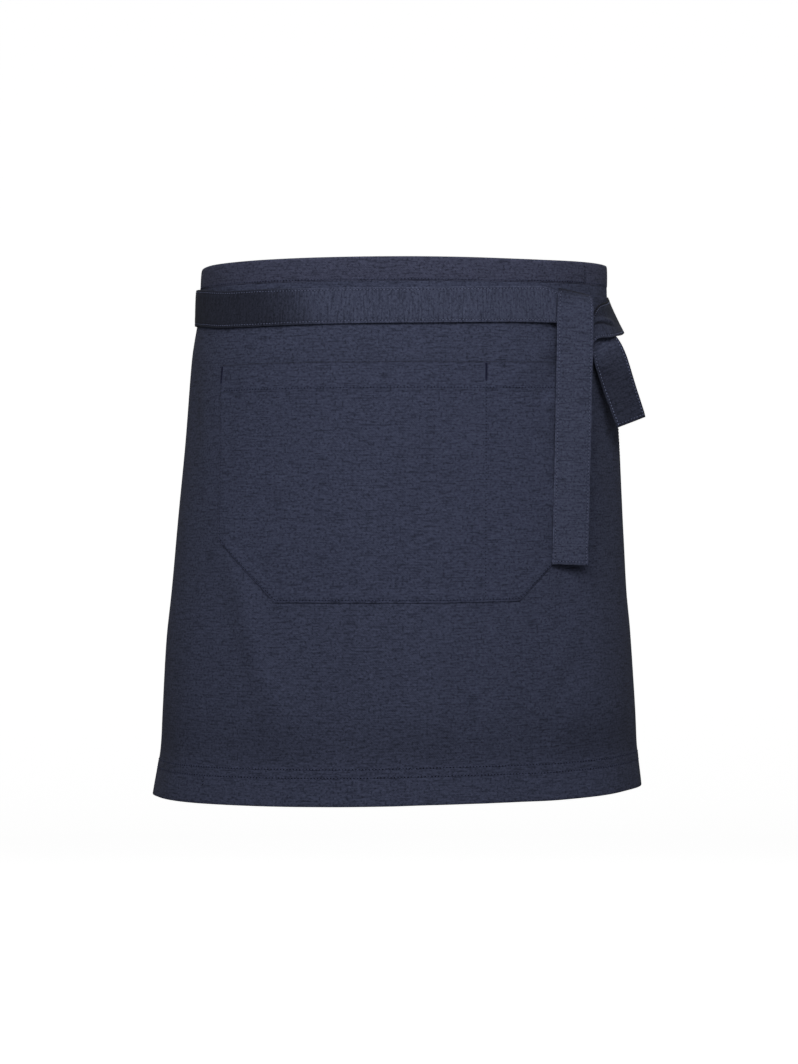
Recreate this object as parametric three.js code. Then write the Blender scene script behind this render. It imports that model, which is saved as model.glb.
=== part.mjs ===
// A short waist apron in the shape that it takes when it is worn: a flared front panel under a doubled
// waistband, a wide patch pocket, and two ties that cross behind the waist and meet in a half knot at
// the front right. Millimetres, +Z up, the front faces -Y. The origin is the middle of the waist, at
// the height of the waistband's upper edge.

import * as THREE from 'three';

// Driving dimensions, in millimetres
const PANEL_DROP = 456;
const BAND_HEIGHT = 21;
const HEM_DEPTH = 30;
const SIDE_HEM_SHARE = 0.018;
const SIDE_HEM_STEP_SHARE = 0.0045;
const POCKET_HEM = 21;
const POCKET_GAPE = 1.2;
const TIE_WIDTH = 31;
const CLOTH = 1.2;
const DOUBLED = 2.1;
const TIE_WALL = 1.6;
const POCKET_GAP = 0.5;
const SEAM_GAP = 0.3;
const BAND_STAND = 0.3;
const HEM_STEP = 2;

// Facets: how many columns and rows each sheet has, and how long a tie's steps are
const PANEL_COLUMNS = 60;
const PANEL_ROW_HEIGHT = 24;
const BAND_COLUMNS = 48;
const POCKET_COLUMNS = 34;
const POCKET_ROW_HEIGHT = 20;
const CORNER_ROW_HEIGHT = 9;
const LONG_STEP = 10;
const FINE_STEP = 2.5;
const FINE_REACH = 24;

// Half the span, in degrees and millimetres, over which the cloth's own directions are taken
const PROBE = 1;

// The waist and hips under the cloth, by drop below the waistband's upper edge. left and right are half
// widths, depth is the half depth, leftEnd and rightEnd say how far round the panel's side edges lie, in
// degrees from the centre front, and sink and lift tilt the cloth down on the left and up on the right.
const SECTIONS = [
  { drop: 0, left: 178.0, right: 178.6, depth: 115.0, leftEnd: 95, rightEnd: 82, sink: 0.0, lift: 0.8 },
  { drop: 32, left: 179.6, right: 180.2, depth: 116.2, leftEnd: 95, rightEnd: 80, sink: 0.1, lift: 1.6 },
  { drop: 80, left: 186.2, right: 183.4, depth: 118.0, leftEnd: 96, rightEnd: 86, sink: 0.4, lift: 2.8 },
  { drop: 160, left: 192.6, right: 188.7, depth: 120.5, leftEnd: 97, rightEnd: 91, sink: 0.8, lift: 4.2 },
  { drop: 240, left: 200.0, right: 192.6, depth: 123.0, leftEnd: 99, rightEnd: 95, sink: 1.2, lift: 5.2 },
  { drop: 320, left: 207.8, right: 198.2, depth: 126.0, leftEnd: 101, rightEnd: 98, sink: 1.7, lift: 6.2 },
  { drop: 400, left: 212.6, right: 203.6, depth: 128.5, leftEnd: 103, rightEnd: 101, sink: 2.2, lift: 7.2 },
  { drop: 456, left: 220.6, right: 209.6, depth: 131.0, leftEnd: 104, rightEnd: 103, sink: 2.5, lift: 8.0 },
];

// Soft drape folds of the panel: where each lies at the hem, how wide it is, both in degrees, how far
// it swells out at the hem, and the drop at which it starts.
const FOLDS = [
  { angle: -60, spread: 12, swell: 2.6, start: 180 },
  { angle: -26, spread: 11, swell: -2.2, start: 240 },
  { angle: 5, spread: 10, swell: 2.4, start: 260 },
  { angle: 30, spread: 9, swell: -2.8, start: 220 },
  { angle: 55, spread: 10, swell: 2.6, start: 200 },
];

// The pocket's outline: sideways places of its two side edges, by drop
const POCKET_OUTLINE = [
  { drop: 90, left: -154.7, right: 145.0 },
  { drop: 237, left: -156.7, right: 147.0 },
  { drop: 288, left: -107.3, right: 97.1 },
];

// The ties' routes. angle and drop place the tie's middle on the cloth, and out lifts it off the panel's
// outer face. width narrows where the tie is gathered, spin turns it in the plane of the cloth and tilt
// lifts its upper edge, both in degrees. Angles run on round the back, so that 360 is the centre front
// again. The right tie goes round the back to the left, across the front and into the knot.
const TIE_RIGHT_ROUTE = [
  { angle: 73, drop: 10.6, out: -3.0, width: 20, spin: 0, tilt: 0 },
  { angle: 83, drop: 10.7, out: -3.0, width: 20, spin: 0, tilt: 0 },
  { angle: 96, drop: 11.5, out: -1.4, width: 21, spin: 0, tilt: 0 },
  { angle: 108, drop: 12.5, out: 1.2, width: 22, spin: 0, tilt: 0 },
  { angle: 122, drop: 15, out: 1.6, width: 26, spin: 0, tilt: 0 },
  { angle: 150, drop: 20, out: 1.6, width: TIE_WIDTH, spin: 0, tilt: 0 },
  { angle: 180, drop: 25, out: 1.6, width: TIE_WIDTH, spin: 0, tilt: 0 },
  { angle: 225, drop: 31, out: 1.6, width: TIE_WIDTH, spin: 0, tilt: 1 },
  { angle: 258, drop: 33.6, out: 3.1, width: TIE_WIDTH, spin: 0, tilt: 5 },
  { angle: 278, drop: 34.6, out: 3.2, width: TIE_WIDTH, spin: 0, tilt: 5 },
  { angle: 305, drop: 39.2, out: 1.6, width: TIE_WIDTH, spin: 0, tilt: 0 },
  { angle: 360, drop: 40.6, out: 1.5, width: TIE_WIDTH, spin: 0, tilt: 0 },
  { angle: 390, drop: 38.8, out: 1.5, width: TIE_WIDTH, spin: 0, tilt: 0 },
  { angle: 400, drop: 38.4, out: 1.9, width: TIE_WIDTH, spin: 0, tilt: 0 },
  { angle: 404, drop: 39.8, out: 3.5, width: TIE_WIDTH, spin: -4, tilt: 0 },
  { angle: 407, drop: 45.0, out: 3.8, width: TIE_WIDTH, spin: -9, tilt: 0 },
  { angle: 410, drop: 48.6, out: 3.8, width: TIE_WIDTH, spin: -16, tilt: 0 },
  { angle: 414, drop: 52.4, out: 3.8, width: TIE_WIDTH, spin: -28, tilt: 0 },
  { angle: 418.5, drop: 57.2, out: 3.8, width: TIE_WIDTH, spin: -45, tilt: 0 },
  { angle: 422, drop: 64, out: 4.6, width: TIE_WIDTH, spin: -60, tilt: 4 },
  { angle: 425.2, drop: 73, out: 7.0, width: TIE_WIDTH, spin: -67, tilt: 16 },
  { angle: 427.2, drop: 88, out: 10.0, width: TIE_WIDTH, spin: -70, tilt: 28 },
  { angle: 428.8, drop: 104, out: 12.6, width: TIE_WIDTH, spin: -70, tilt: 33 },
  { angle: 431.9, drop: 138.7, out: 19.2, width: TIE_WIDTH, spin: -70, tilt: 37 },
];

// The left tie goes round the back to the right, over the other tie, under it and up behind it, then
// folds over its upper edge and hangs down in front.
const TIE_LEFT_ROUTE = [
  { angle: 283, drop: 10.6, out: -3.0, width: 20, spin: 0, tilt: 0 },
  { angle: 265, drop: 10.8, out: -3.0, width: 20, spin: 0, tilt: 0 },
  { angle: 248, drop: 12.8, out: -1.6, width: 24, spin: 0, tilt: 0 },
  { angle: 225, drop: 18, out: -0.6, width: TIE_WIDTH, spin: 0, tilt: 0 },
  { angle: 180, drop: 28, out: -0.6, width: TIE_WIDTH, spin: 0, tilt: 0 },
  { angle: 135, drop: 38, out: -0.6, width: TIE_WIDTH, spin: 0, tilt: 0 },
  { angle: 112, drop: 41.8, out: -0.4, width: TIE_WIDTH, spin: 0, tilt: 0 },
  { angle: 101, drop: 42.4, out: 2.0, width: TIE_WIDTH, spin: 0, tilt: -8 },
  { angle: 91, drop: 41.6, out: 6.0, width: TIE_WIDTH, spin: 0, tilt: -21 },
  { angle: 84, drop: 42.4, out: 7.4, width: TIE_WIDTH, spin: 0, tilt: -22 },
  { angle: 76, drop: 45.0, out: 8.6, width: TIE_WIDTH, spin: 0, tilt: -22 },
  { angle: 66, drop: 49.8, out: 9.6, width: 28, spin: -2, tilt: -20 },
  { angle: 60, drop: 56, out: 9.3, width: 22, spin: -6, tilt: -14 },
  { angle: 55.5, drop: 68.4, out: 8.9, width: 18, spin: -16, tilt: -8 },
  { angle: 51.2, drop: 76.4, out: 4.5, width: 15, spin: -42, tilt: 0 },
  { angle: 49.6, drop: 68, out: 1.5, width: 14, spin: -72, tilt: 0 },
  { angle: 50.0, drop: 52, out: 1.3, width: 17, spin: -88, tilt: 0 },
  { angle: 50.4, drop: 40, out: 1.3, width: 19, spin: -94, tilt: 0 },
  { angle: 51.0, drop: 28.2, out: 1.6, width: 22, spin: -98, tilt: 0 },
  { angle: 50.8, drop: 24.2, out: 5.4, width: 28, spin: -98, tilt: 2 },
  { angle: 50.3, drop: 28.6, out: 9.2, width: TIE_WIDTH, spin: -97, tilt: 8 },
  { angle: 49.8, drop: 43.4, out: 10.6, width: TIE_WIDTH, spin: -93, tilt: 17 },
  { angle: 46.9, drop: 152, out: 9.6, width: TIE_WIDTH, spin: -92, tilt: 22 },
  { angle: 43.9, drop: 262, out: 9.2, width: TIE_WIDTH, spin: -94, tilt: 25 },
];

// Dyed cotton chambray: a matt navy, a little lighter on the ties than on the panel
const PANEL_COLOUR = 0x35394a;
const BAND_COLOUR = 0x383a4b;
const POCKET_COLOUR = 0x363a4c;
const TIE_COLOUR = 0x393c4e;
const CLOTH_ROUGHNESS = 0.9;

const { degToRad, lerp, clamp, smoothstep } = THREE.MathUtils;

// A smooth curve through one column of a table. Slopes are harmonic means of the neighbouring chords,
// so the curve never overshoots its rows.
function smoothColumn(places, values) {
  const chords = values.slice(1).map((value, i) => (value - values[i]) / (places[i + 1] - places[i]));
  const slopes = values.map((_, i) => {
    if (i === 0) return chords[0];
    if (i === chords.length) return chords[i - 1];
    const product = chords[i - 1] * chords[i];
    return product > 0 ? (2 * product) / (chords[i - 1] + chords[i]) : 0;
  });
  return (place) => {
    const held = clamp(place, places[0], places.at(-1));
    const i = Math.max(places.findLastIndex((start, k) => start <= held && k < chords.length), 0);
    const span = places[i + 1] - places[i];
    const t = (held - places[i]) / span;
    const rise = values[i + 1] - values[i];
    const bend = t * (1 - t) * ((1 - t) * (slopes[i] * span - rise) + t * (rise - slopes[i + 1] * span));
    return values[i] + t * rise + bend;
  };
}

// Every column of a table as a smooth curve over the table's own key
function smoothTable(rows, key) {
  const places = rows.map((row) => row[key]);
  const names = Object.keys(rows[0]).filter((name) => name !== key);
  const curve = (name) => smoothColumn(places, rows.map((row) => row[name]));
  return Object.fromEntries(names.map((name) => [name, curve(name)]));
}

const body = smoothTable(SECTIONS, 'drop');

// How far the drape folds push the cloth out at an angle and a drop
function foldSwell(angle, drop) {
  const front = THREE.MathUtils.euclideanModulo(angle + 180, 360) - 180;
  return FOLDS.reduce((swell, fold) => {
    const spread = Math.exp(-(((front - fold.angle) / fold.spread) ** 2));
    return swell + fold.swell * spread * smoothstep(drop, fold.start, PANEL_DROP);
  }, 0);
}

// A point of the worn cloth: an ellipse at each drop, of its own half width on each side, moved out
// along its horizontal normal. out is 0 on the panel's outer face.
function clothPoint(angle, drop, out) {
  const sine = Math.sin(degToRad(angle));
  const cosine = Math.cos(degToRad(angle));
  const half = sine < 0 ? body.left(drop) : body.right(drop);
  const depth = body.depth(drop);
  const tilt = sine < 0 ? -body.sink(drop) : body.lift(drop);
  const point = new THREE.Vector3(half * sine, -depth * cosine, tilt * sine * sine - drop);
  const normal = new THREE.Vector3(sine / half, -cosine / depth, 0).normalize();
  return point.addScaledVector(normal, out + foldSwell(angle, drop));
}

// The angle at which the cloth stands a given way sideways from the centre front
function angleAt(sideways, drop) {
  const half = sideways < 0 ? body.left(drop) : body.right(drop);
  return THREE.MathUtils.radToDeg(Math.asin(sideways / half));
}

// A closed mesh from points and triangles, turned so that its faces point out
function closedGeometry(points, triangles) {
  const corner = triangles.map((index) => points[index]);
  let volume = 0;
  for (let i = 0; i < corner.length; i += 3) {
    volume += corner[i].dot(new THREE.Vector3().crossVectors(corner[i + 1], corner[i + 2]));
  }
  if (volume < 0) triangles.reverse();
  const geometry = new THREE.BufferGeometry().setFromPoints(points);
  geometry.setIndex(triangles);
  geometry.computeVertexNormals();
  return geometry;
}

// Two triangles for the four corners of a quad, given in order round it
function quad(a, b, c, d) {
  return [a, b, c, a, c, d];
}

// A wall of cloth: an outer and an inner grid joined round their rim. place gives the point of a side,
// 'outer' or 'inner', at a column and a row.
function wallGeometry(columns, rows, place) {
  const grid = (side) => rows.flatMap((row) => columns.map((column) => place(side, column, row)));
  const points = [...grid('outer'), ...grid('inner')];
  const at = (side, i, j) => (side * rows.length + j) * columns.length + i;
  const right = columns.length - 1;
  const bottom = rows.length - 1;
  const triangles = [];
  for (let j = 0; j < bottom; j += 1) {
    for (let i = 0; i < right; i += 1) {
      triangles.push(...quad(at(0, i, j), at(0, i, j + 1), at(0, i + 1, j + 1), at(0, i + 1, j)));
      triangles.push(...quad(at(1, i, j), at(1, i + 1, j), at(1, i + 1, j + 1), at(1, i, j + 1)));
    }
    triangles.push(...quad(at(0, 0, j), at(1, 0, j), at(1, 0, j + 1), at(0, 0, j + 1)));
    triangles.push(...quad(at(0, right, j), at(0, right, j + 1), at(1, right, j + 1), at(1, right, j)));
  }
  for (let i = 0; i < right; i += 1) {
    triangles.push(...quad(at(0, i, 0), at(0, i + 1, 0), at(1, i + 1, 0), at(1, i, 0)));
    triangles.push(...quad(at(0, i, bottom), at(1, i, bottom), at(1, i + 1, bottom), at(0, i + 1, bottom)));
  }
  return closedGeometry(points, triangles);
}

// Evenly spaced values from start to end, both included, no further apart than step
function spaced(start, end, step) {
  const count = Math.max(1, Math.ceil(Math.abs(end - start) / step));
  return Array.from({ length: count + 1 }, (_, i) => lerp(start, end, i / count));
}

// The angle at a share of the panel's width, from its left edge to its right
function panelAngle(share, drop) {
  return lerp(-body.leftEnd(drop), body.rightEnd(drop), share);
}

// The panel: one layer of cloth, doubled along its side hems and its deep bottom hem
function panelGeometry() {
  const hemmed = SIDE_HEM_SHARE + SIDE_HEM_STEP_SHARE;
  const middle = spaced(hemmed, 1 - hemmed, 1 / PANEL_COLUMNS);
  const columns = [0, SIDE_HEM_SHARE, ...middle, 1 - SIDE_HEM_SHARE, 1];
  const hemTop = PANEL_DROP - HEM_DEPTH;
  const upper = spaced(BAND_HEIGHT + SEAM_GAP, hemTop - HEM_STEP, PANEL_ROW_HEIGHT);
  const rows = [...upper, ...spaced(hemTop, PANEL_DROP, HEM_DEPTH / 2)];
  return wallGeometry(columns, rows, (side, share, drop) => {
    const doubled = share <= SIDE_HEM_SHARE || share >= 1 - SIDE_HEM_SHARE || drop >= hemTop;
    const wall = doubled ? DOUBLED : CLOTH;
    return clothPoint(panelAngle(share, drop), drop, side === 'outer' ? 0 : -wall);
  });
}

// The waistband: a doubled band, a little proud of the panel that hangs from its lower edge
function bandGeometry() {
  const columns = spaced(0, 1, 1 / BAND_COLUMNS);
  const rows = spaced(0, BAND_HEIGHT, BAND_HEIGHT / 2);
  return wallGeometry(columns, rows, (side, share, drop) => {
    const out = side === 'outer' ? BAND_STAND : BAND_STAND - DOUBLED;
    return clothPoint(panelAngle(share, drop), drop, out);
  });
}

// The pocket: a patch sewn down round its sides and bottom. Its doubled top hem gapes a little from the
// panel between the two side seams, so the mouth is open.
function pocketGeometry() {
  const [mouth, shoulder, base] = POCKET_OUTLINE;
  const columns = spaced(0, 1, 1 / POCKET_COLUMNS);
  const hemEnd = mouth.drop + POCKET_HEM;
  const rows = [
    ...spaced(mouth.drop, hemEnd, POCKET_ROW_HEIGHT),
    ...spaced(hemEnd + HEM_STEP, shoulder.drop, POCKET_ROW_HEIGHT),
    ...spaced(shoulder.drop, base.drop, CORNER_ROW_HEIGHT).slice(1),
  ];
  const sideways = (edge, drop) => {
    const [from, to] = drop < shoulder.drop ? [mouth, shoulder] : [shoulder, base];
    return lerp(from[edge], to[edge], (drop - from.drop) / (to.drop - from.drop));
  };
  return wallGeometry(columns, rows, (side, share, drop) => {
    const left = angleAt(sideways('left', drop), drop);
    const right = angleAt(sideways('right', drop), drop);
    const openness = 1 - smoothstep(drop, mouth.drop, shoulder.drop);
    const gape = POCKET_GAPE * openness * Math.sin(Math.PI * share);
    const wall = drop <= hemEnd ? DOUBLED : CLOTH;
    const out = POCKET_GAP + gape + (side === 'outer' ? wall : 0);
    return clothPoint(lerp(left, right, share), drop, out);
  });
}

// A tie's middle and its direction across, from its lower edge to its upper edge, at one place of its route
function tieStation({ angle, drop, out, width, spin, tilt }) {
  const along = clothPoint(angle + PROBE, drop, 0).sub(clothPoint(angle - PROBE, drop, 0)).normalize();
  const up = clothPoint(angle, drop - PROBE, 0).sub(clothPoint(angle, drop + PROBE, 0)).normalize();
  const outward = new THREE.Vector3().crossVectors(along, up).normalize();
  const turn = degToRad(spin);
  const lean = degToRad(tilt);
  const across = up.multiplyScalar(Math.cos(turn)).addScaledVector(along, -Math.sin(turn));
  across.multiplyScalar(Math.cos(lean)).addScaledVector(outward, Math.sin(lean));
  return { middle: clothPoint(angle, drop, out), across: across.normalize(), width };
}

// Places along a tie's route, close together where its rows are close together
function tieStations(route) {
  const middles = route.map((row) => tieStation(row).middle);
  const places = [0];
  middles.slice(1).forEach((middle, i) => places.push(places[i] + middle.distanceTo(middles[i])));
  const rows = route.map((row, i) => ({ ...row, place: places[i] }));
  const course = smoothTable(rows, 'place');
  const stops = places.slice(1).flatMap((end, i) => {
    const step = end - places[i] < FINE_REACH ? FINE_STEP : LONG_STEP;
    return spaced(places[i], end, step).slice(i === 0 ? 0 : 1);
  });
  const names = Object.keys(course);
  const rowAt = (stop) => Object.fromEntries(names.map((name) => [name, course[name](stop)]));
  return stops.map((stop) => tieStation(rowAt(stop)));
}

// A tie: a flat doubled strip swept along its route, square at both ends
function tieGeometry(route) {
  const stations = tieStations(route);
  const last = stations.length - 1;
  const points = stations.flatMap(({ middle, across, width }, i) => {
    const before = stations[Math.max(i - 1, 0)].middle;
    const after = stations[Math.min(i + 1, last)].middle;
    const travel = after.clone().sub(before);
    const face = new THREE.Vector3().crossVectors(travel, across).normalize();
    const corners = [[1, 1], [-1, 1], [-1, -1], [1, -1]];
    return corners.map(([edge, side]) => {
      const corner = middle.clone().addScaledVector(across, (edge * width) / 2);
      return corner.addScaledVector(face, (side * TIE_WALL) / 2);
    });
  });
  const triangles = [];
  for (let i = 0; i < last; i += 1) {
    for (let k = 0; k < 4; k += 1) {
      const next = (k + 1) % 4;
      triangles.push(...quad(4 * i + k, 4 * i + next, 4 * (i + 1) + next, 4 * (i + 1) + k));
    }
  }
  triangles.push(...quad(3, 2, 1, 0));
  triangles.push(...quad(4 * last, 4 * last + 1, 4 * last + 2, 4 * last + 3));
  return closedGeometry(points, triangles);
}

// One named piece with its own cloth
function piece(name, geometry, color) {
  const material = new THREE.MeshStandardMaterial({ color, roughness: CLOTH_ROUGHNESS, metalness: 0 });
  const mesh = new THREE.Mesh(geometry, material);
  mesh.name = name;
  return mesh;
}

const apron = new THREE.Group();
apron.name = 'waist_apron';
apron.add(
  piece('skirt_panel', panelGeometry(), PANEL_COLOUR),
  piece('waistband', bandGeometry(), BAND_COLOUR),
  piece('pocket', pocketGeometry(), POCKET_COLOUR),
  piece('tie_right', tieGeometry(TIE_RIGHT_ROUTE), TIE_COLOUR),
  piece('tie_left', tieGeometry(TIE_LEFT_ROUTE), TIE_COLOUR),
);

export default apron;
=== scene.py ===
"""A short waist apron in navy chambray, dressed in the form that it takes when it is worn.

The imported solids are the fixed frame. Every sheet here is worked out from the same worn form as its
solid: an ellipse at each drop below the waist, moved out along its normal. On top of that comes what the
solids leave out: soft undulation, seams that pull the cloth in, sewn threads, bar tacks and the weave.
Shapes are worked out in millimetres and put into the meshes in metres.
"""

import logging
from dataclasses import dataclass, replace
from enum import Enum

import bpy
import numpy as np
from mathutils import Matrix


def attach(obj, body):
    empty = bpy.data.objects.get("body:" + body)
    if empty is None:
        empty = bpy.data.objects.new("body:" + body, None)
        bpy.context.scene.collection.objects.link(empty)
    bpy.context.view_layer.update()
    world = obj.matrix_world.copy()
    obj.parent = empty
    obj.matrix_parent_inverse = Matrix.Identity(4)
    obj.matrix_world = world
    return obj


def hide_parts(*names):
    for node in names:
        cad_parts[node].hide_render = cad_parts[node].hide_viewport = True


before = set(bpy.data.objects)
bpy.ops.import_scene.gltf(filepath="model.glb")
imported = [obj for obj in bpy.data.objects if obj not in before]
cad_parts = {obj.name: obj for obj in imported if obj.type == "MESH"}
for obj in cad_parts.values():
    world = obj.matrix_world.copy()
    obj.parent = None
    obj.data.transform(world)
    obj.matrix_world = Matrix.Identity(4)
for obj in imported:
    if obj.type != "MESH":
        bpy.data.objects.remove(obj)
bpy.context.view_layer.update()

LOG = logging.getLogger("waist_apron")
MM = 0.001
BODY = "root"
CLOTH_MAP = "cloth_mm"
TONE = "tone"
TIE_WIDTH = 31.0
ARC_NODES = 8
Array = np.ndarray


def smooth_curve(places: Array, values: Array, at: Array) -> Array:
    """A smooth curve through a column of a table: cubics whose slopes are harmonic means of the chords.

    Args:
        places: rising keys of the table's rows.
        values: the column's value in each row.
        at: where to read the curve; beyond the table it keeps the end values.

    Returns:
        The curve's values, in the shape of at.
    """
    chords = np.diff(values) / np.diff(places)
    product = chords[:-1] * chords[1:]
    total = np.where(product > 0, chords[:-1] + chords[1:], 1.0)
    inner = np.where(product > 0, 2.0 * product / total, 0.0)
    slopes = np.concatenate([chords[:1], inner, chords[-1:]])
    held = np.clip(at, places[0], places[-1])
    i = np.clip(np.searchsorted(places, held, side="right") - 1, 0, len(chords) - 1)
    span = places[i + 1] - places[i]
    t = (held - places[i]) / span
    rise = values[i + 1] - values[i]
    bend = (1.0 - t) * (slopes[i] * span - rise) + t * (rise - slopes[i + 1] * span)
    return values[i] + t * rise + t * (1.0 - t) * bend


def ease(low: float, high: float, at: Array) -> Array:
    """A smooth step from 0 at low to 1 at high: 3t^2 - 2t^3 of the share t of the way."""
    share = np.clip((at - low) / (high - low), 0.0, 1.0)
    return share * share * (3.0 - 2.0 * share)


def bell(distance: Array, width: float) -> Array:
    """A bell of height 1 and the given half width: e to the power of minus the squared ratio."""
    return np.exp(-((distance / width) ** 2))


def unit(vectors: Array) -> Array:
    """Vectors scaled to length 1, along the last axis."""
    return vectors / np.linalg.norm(vectors, axis=-1, keepdims=True)


def ways(points: Array) -> Array:
    """The way along a line to each of its points (n, 2 or 3): the sum of the steps up to it."""
    steps = np.linalg.norm(np.diff(points, axis=0), axis=1)
    return np.concatenate([[0.0], np.cumsum(steps)])


def graded(start: float, end: float, step: float, fine: float, lines: tuple[float, ...]) -> Array:
    """Places from start to end, closer together near some lines, with a place exactly on each line.

    The wanted density, 1 / step and rising in a bell to 1 / fine at each line, is summed up along the way
    and cut into equal shares.

    Args:
        start: first place.
        end: last place.
        step: distance between places far from every line.
        fine: distance between places at a line.
        lines: where the places crowd.

    Returns:
        The rising places.
    """
    sample = np.linspace(start, end, 4000)
    offsets = np.abs(sample[:, None] - np.array(lines)[None, :])
    near = bell(offsets / step, 1.6).max(axis=1)
    density = 1.0 / step + (1.0 / fine - 1.0 / step) * near
    total = np.concatenate([[0.0], np.cumsum((density[1:] + density[:-1]) / 2.0 * np.diff(sample))])
    count = int(np.ceil(total[-1]))
    places = np.interp(np.linspace(0.0, total[-1], count + 1), total, sample)
    nearest = np.abs(places[:, None] - np.array(lines)[None, :]).argmin(axis=0)
    places[nearest] = lines
    places[0], places[-1] = start, end
    return places


def line_distances(corners: Array, place: Array) -> Array:
    """How far inside each edge line of a convex outline a flat place lies: dot products with its normals.

    Args:
        corners: the outline's corners (n, 2), in order, with the inside on one side of every edge.
        place: flat places (..., 2).

    Returns:
        Distances (..., n), positive inside, one for the edge from each corner to the next.
    """
    edges = unit(np.roll(corners, -1, axis=0) - corners)
    normals = np.stack([-edges[:, 1], edges[:, 0]], axis=-1)
    distance = ((place[..., None, :] - corners) * normals).sum(axis=-1)
    middle = ((corners.mean(axis=0) - corners) * normals).sum(axis=-1)
    return distance * np.sign(middle)


@dataclass(frozen=True)
class Shell:
    """A mesh as arrays: places in mm, faces, flat cloth places in mm and the tone of each vertex."""

    vertices: Array
    faces: Array
    flat: Array
    tone: Array


def wall(outer: Array, inner: Array, flat: Array, tone: Array, bulge: float) -> Shell:
    """A closed wall of cloth from an outer and an inner grid, joined by a rounded rim.

    The rim is half an ellipse: from the outer edge, out by the bulge, and back to the inner edge.

    Args:
        outer: the outer face's points (rows, columns, 3), in mm.
        inner: the inner face's points, in the same order.
        flat: each grid point's place on the flat cloth (rows, columns, 2), in mm.
        tone: each grid point's tone (rows, columns).
        bulge: how far the rim stands out past the grids' edges, in mm.

    Returns:
        The closed shell.
    """
    rows, columns = outer.shape[:2]
    count = rows * columns
    grid = np.arange(count).reshape(rows, columns)
    cells = np.stack([grid[:-1, :-1], grid[1:, :-1], grid[1:, 1:], grid[:-1, 1:]], axis=-1).reshape(-1, 4)
    loop = np.concatenate([grid[0, :-1], grid[:-1, -1], grid[-1, :0:-1], grid[:0:-1, 0]])
    inside = np.clip(loop // columns, 1, rows - 2) * columns + np.clip(loop % columns, 1, columns - 2)
    middle = ((outer + inner) / 2.0).reshape(-1, 3)
    half = ((outer - inner) / 2.0).reshape(-1, 3)
    outward = unit(middle[loop] - middle[inside])
    turns = np.radians([45.0, 90.0, 135.0])[:, None, None]
    rings = middle[loop] + half[loop] * np.cos(turns) + outward * (bulge * np.sin(turns))
    ring_ids = 2 * count + np.arange(len(turns) * len(loop)).reshape(len(turns), -1)
    bands = np.concatenate([loop[None], ring_ids, count + loop[None]])
    ahead = np.roll(bands, -1, axis=1)
    rim = np.stack([bands[:-1], ahead[:-1], ahead[1:], bands[1:]], axis=-1).reshape(-1, 4)
    flat_rows = flat.reshape(-1, 2)
    tones = tone.ravel()
    return Shell(
        vertices=np.concatenate([outer.reshape(-1, 3), inner.reshape(-1, 3), rings.reshape(-1, 3)]),
        faces=np.concatenate([cells, cells[:, ::-1] + count, rim]),
        flat=np.concatenate([flat_rows, flat_rows, np.tile(flat_rows[loop], (len(turns), 1))]),
        tone=np.concatenate([tones, tones, np.tile(tones[loop], len(turns))]),
    )


def make_piece(name: str, shell: Shell, material: bpy.types.Material) -> bpy.types.Object:
    """Puts a shell into a mesh object at the origin, with its flat cloth map and its tone.

    Args:
        name: the object's name.
        shell: the arrays, in mm.
        material: the finish.

    Returns:
        The new object, in metres.
    """
    mesh = bpy.data.meshes.new(name)
    mesh.from_pydata((shell.vertices * MM).tolist(), [], shell.faces.tolist(), shade_flat=False)
    corners = np.empty(len(mesh.loops), np.int32)
    mesh.loops.foreach_get("vertex_index", corners)
    layer = mesh.uv_layers.new(name=CLOTH_MAP)
    layer.uv.foreach_set("vector", shell.flat[corners].astype(np.float32).ravel())
    tone = mesh.attributes.new(TONE, "FLOAT", "POINT")
    tone.data.foreach_set("value", shell.tone.astype(np.float32))
    mesh.materials.append(material)
    mesh.validate()
    piece = bpy.data.objects.new(name, mesh)
    bpy.context.scene.collection.objects.link(piece)
    return piece


def linear_colour(code: str) -> tuple[float, float, float, float]:
    """An sRGB hex colour as linear RGBA: (c / 12.92) below 0.04045, else ((c + 0.055) / 1.055) ^ 2.4.

    Args:
        code: a hash sign and six hex digits.

    Returns:
        Red, green, blue and an alpha of 1.
    """
    shade = np.array([int(code[i:i + 2], 16) for i in (1, 3, 5)]) / 255.0
    light = np.where(shade <= 0.04045, shade / 12.92, ((shade + 0.055) / 1.055) ** 2.4)
    return (*light.tolist(), 1.0)


def add_node(tree: bpy.types.NodeTree, kind: str, inputs: dict, **settings: object) -> bpy.types.Node:
    """Adds a node, sets its settings, and sets or links its inputs.

    Args:
        tree: the node tree.
        kind: the node's type name.
        inputs: socket name or number, to a value or to the output socket that feeds it.
        settings: the node's own properties.

    Returns:
        The new node.
    """
    node = tree.nodes.new(kind)
    for name, value in settings.items():
        setattr(node, name, value)
    for key, value in inputs.items():
        if isinstance(value, bpy.types.NodeSocket):
            tree.links.new(value, node.inputs[key])
        else:
            node.inputs[key].default_value = value
    return node


def new_material(name: str, values: dict[str, object]) -> tuple[bpy.types.Material, bpy.types.Node]:
    """Makes a material with nodes, and sets some of its shader's inputs.

    Args:
        name: the material's name.
        values: the inputs' values, by their names.

    Returns:
        The material and its shader.
    """
    material = bpy.data.materials.new(name)
    material.use_nodes = True
    shader = material.node_tree.nodes["Principled BSDF"]
    for key, value in values.items():
        shader.inputs[key].default_value = value
    return material, shader


class Tint(Enum):
    """The yarns of the cloth, by the field of the finish that holds their colour."""

    DEEP = "deep"
    PALE = "pale"
    SLUB = "slub"


@dataclass(frozen=True)
class Grain:
    """A layer of uneven yarn: grain size along and across the weft in mm, when it shows, and how much."""

    tint: Tint
    length: float
    height: float
    low: float
    high: float
    amount: float
    detail: float = 1.0


class MixSocket(Enum):
    """The colour sockets of a mix node, whose names its other kinds of value share."""

    FIRST = 6
    SECOND = 7
    RESULT = 2


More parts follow.
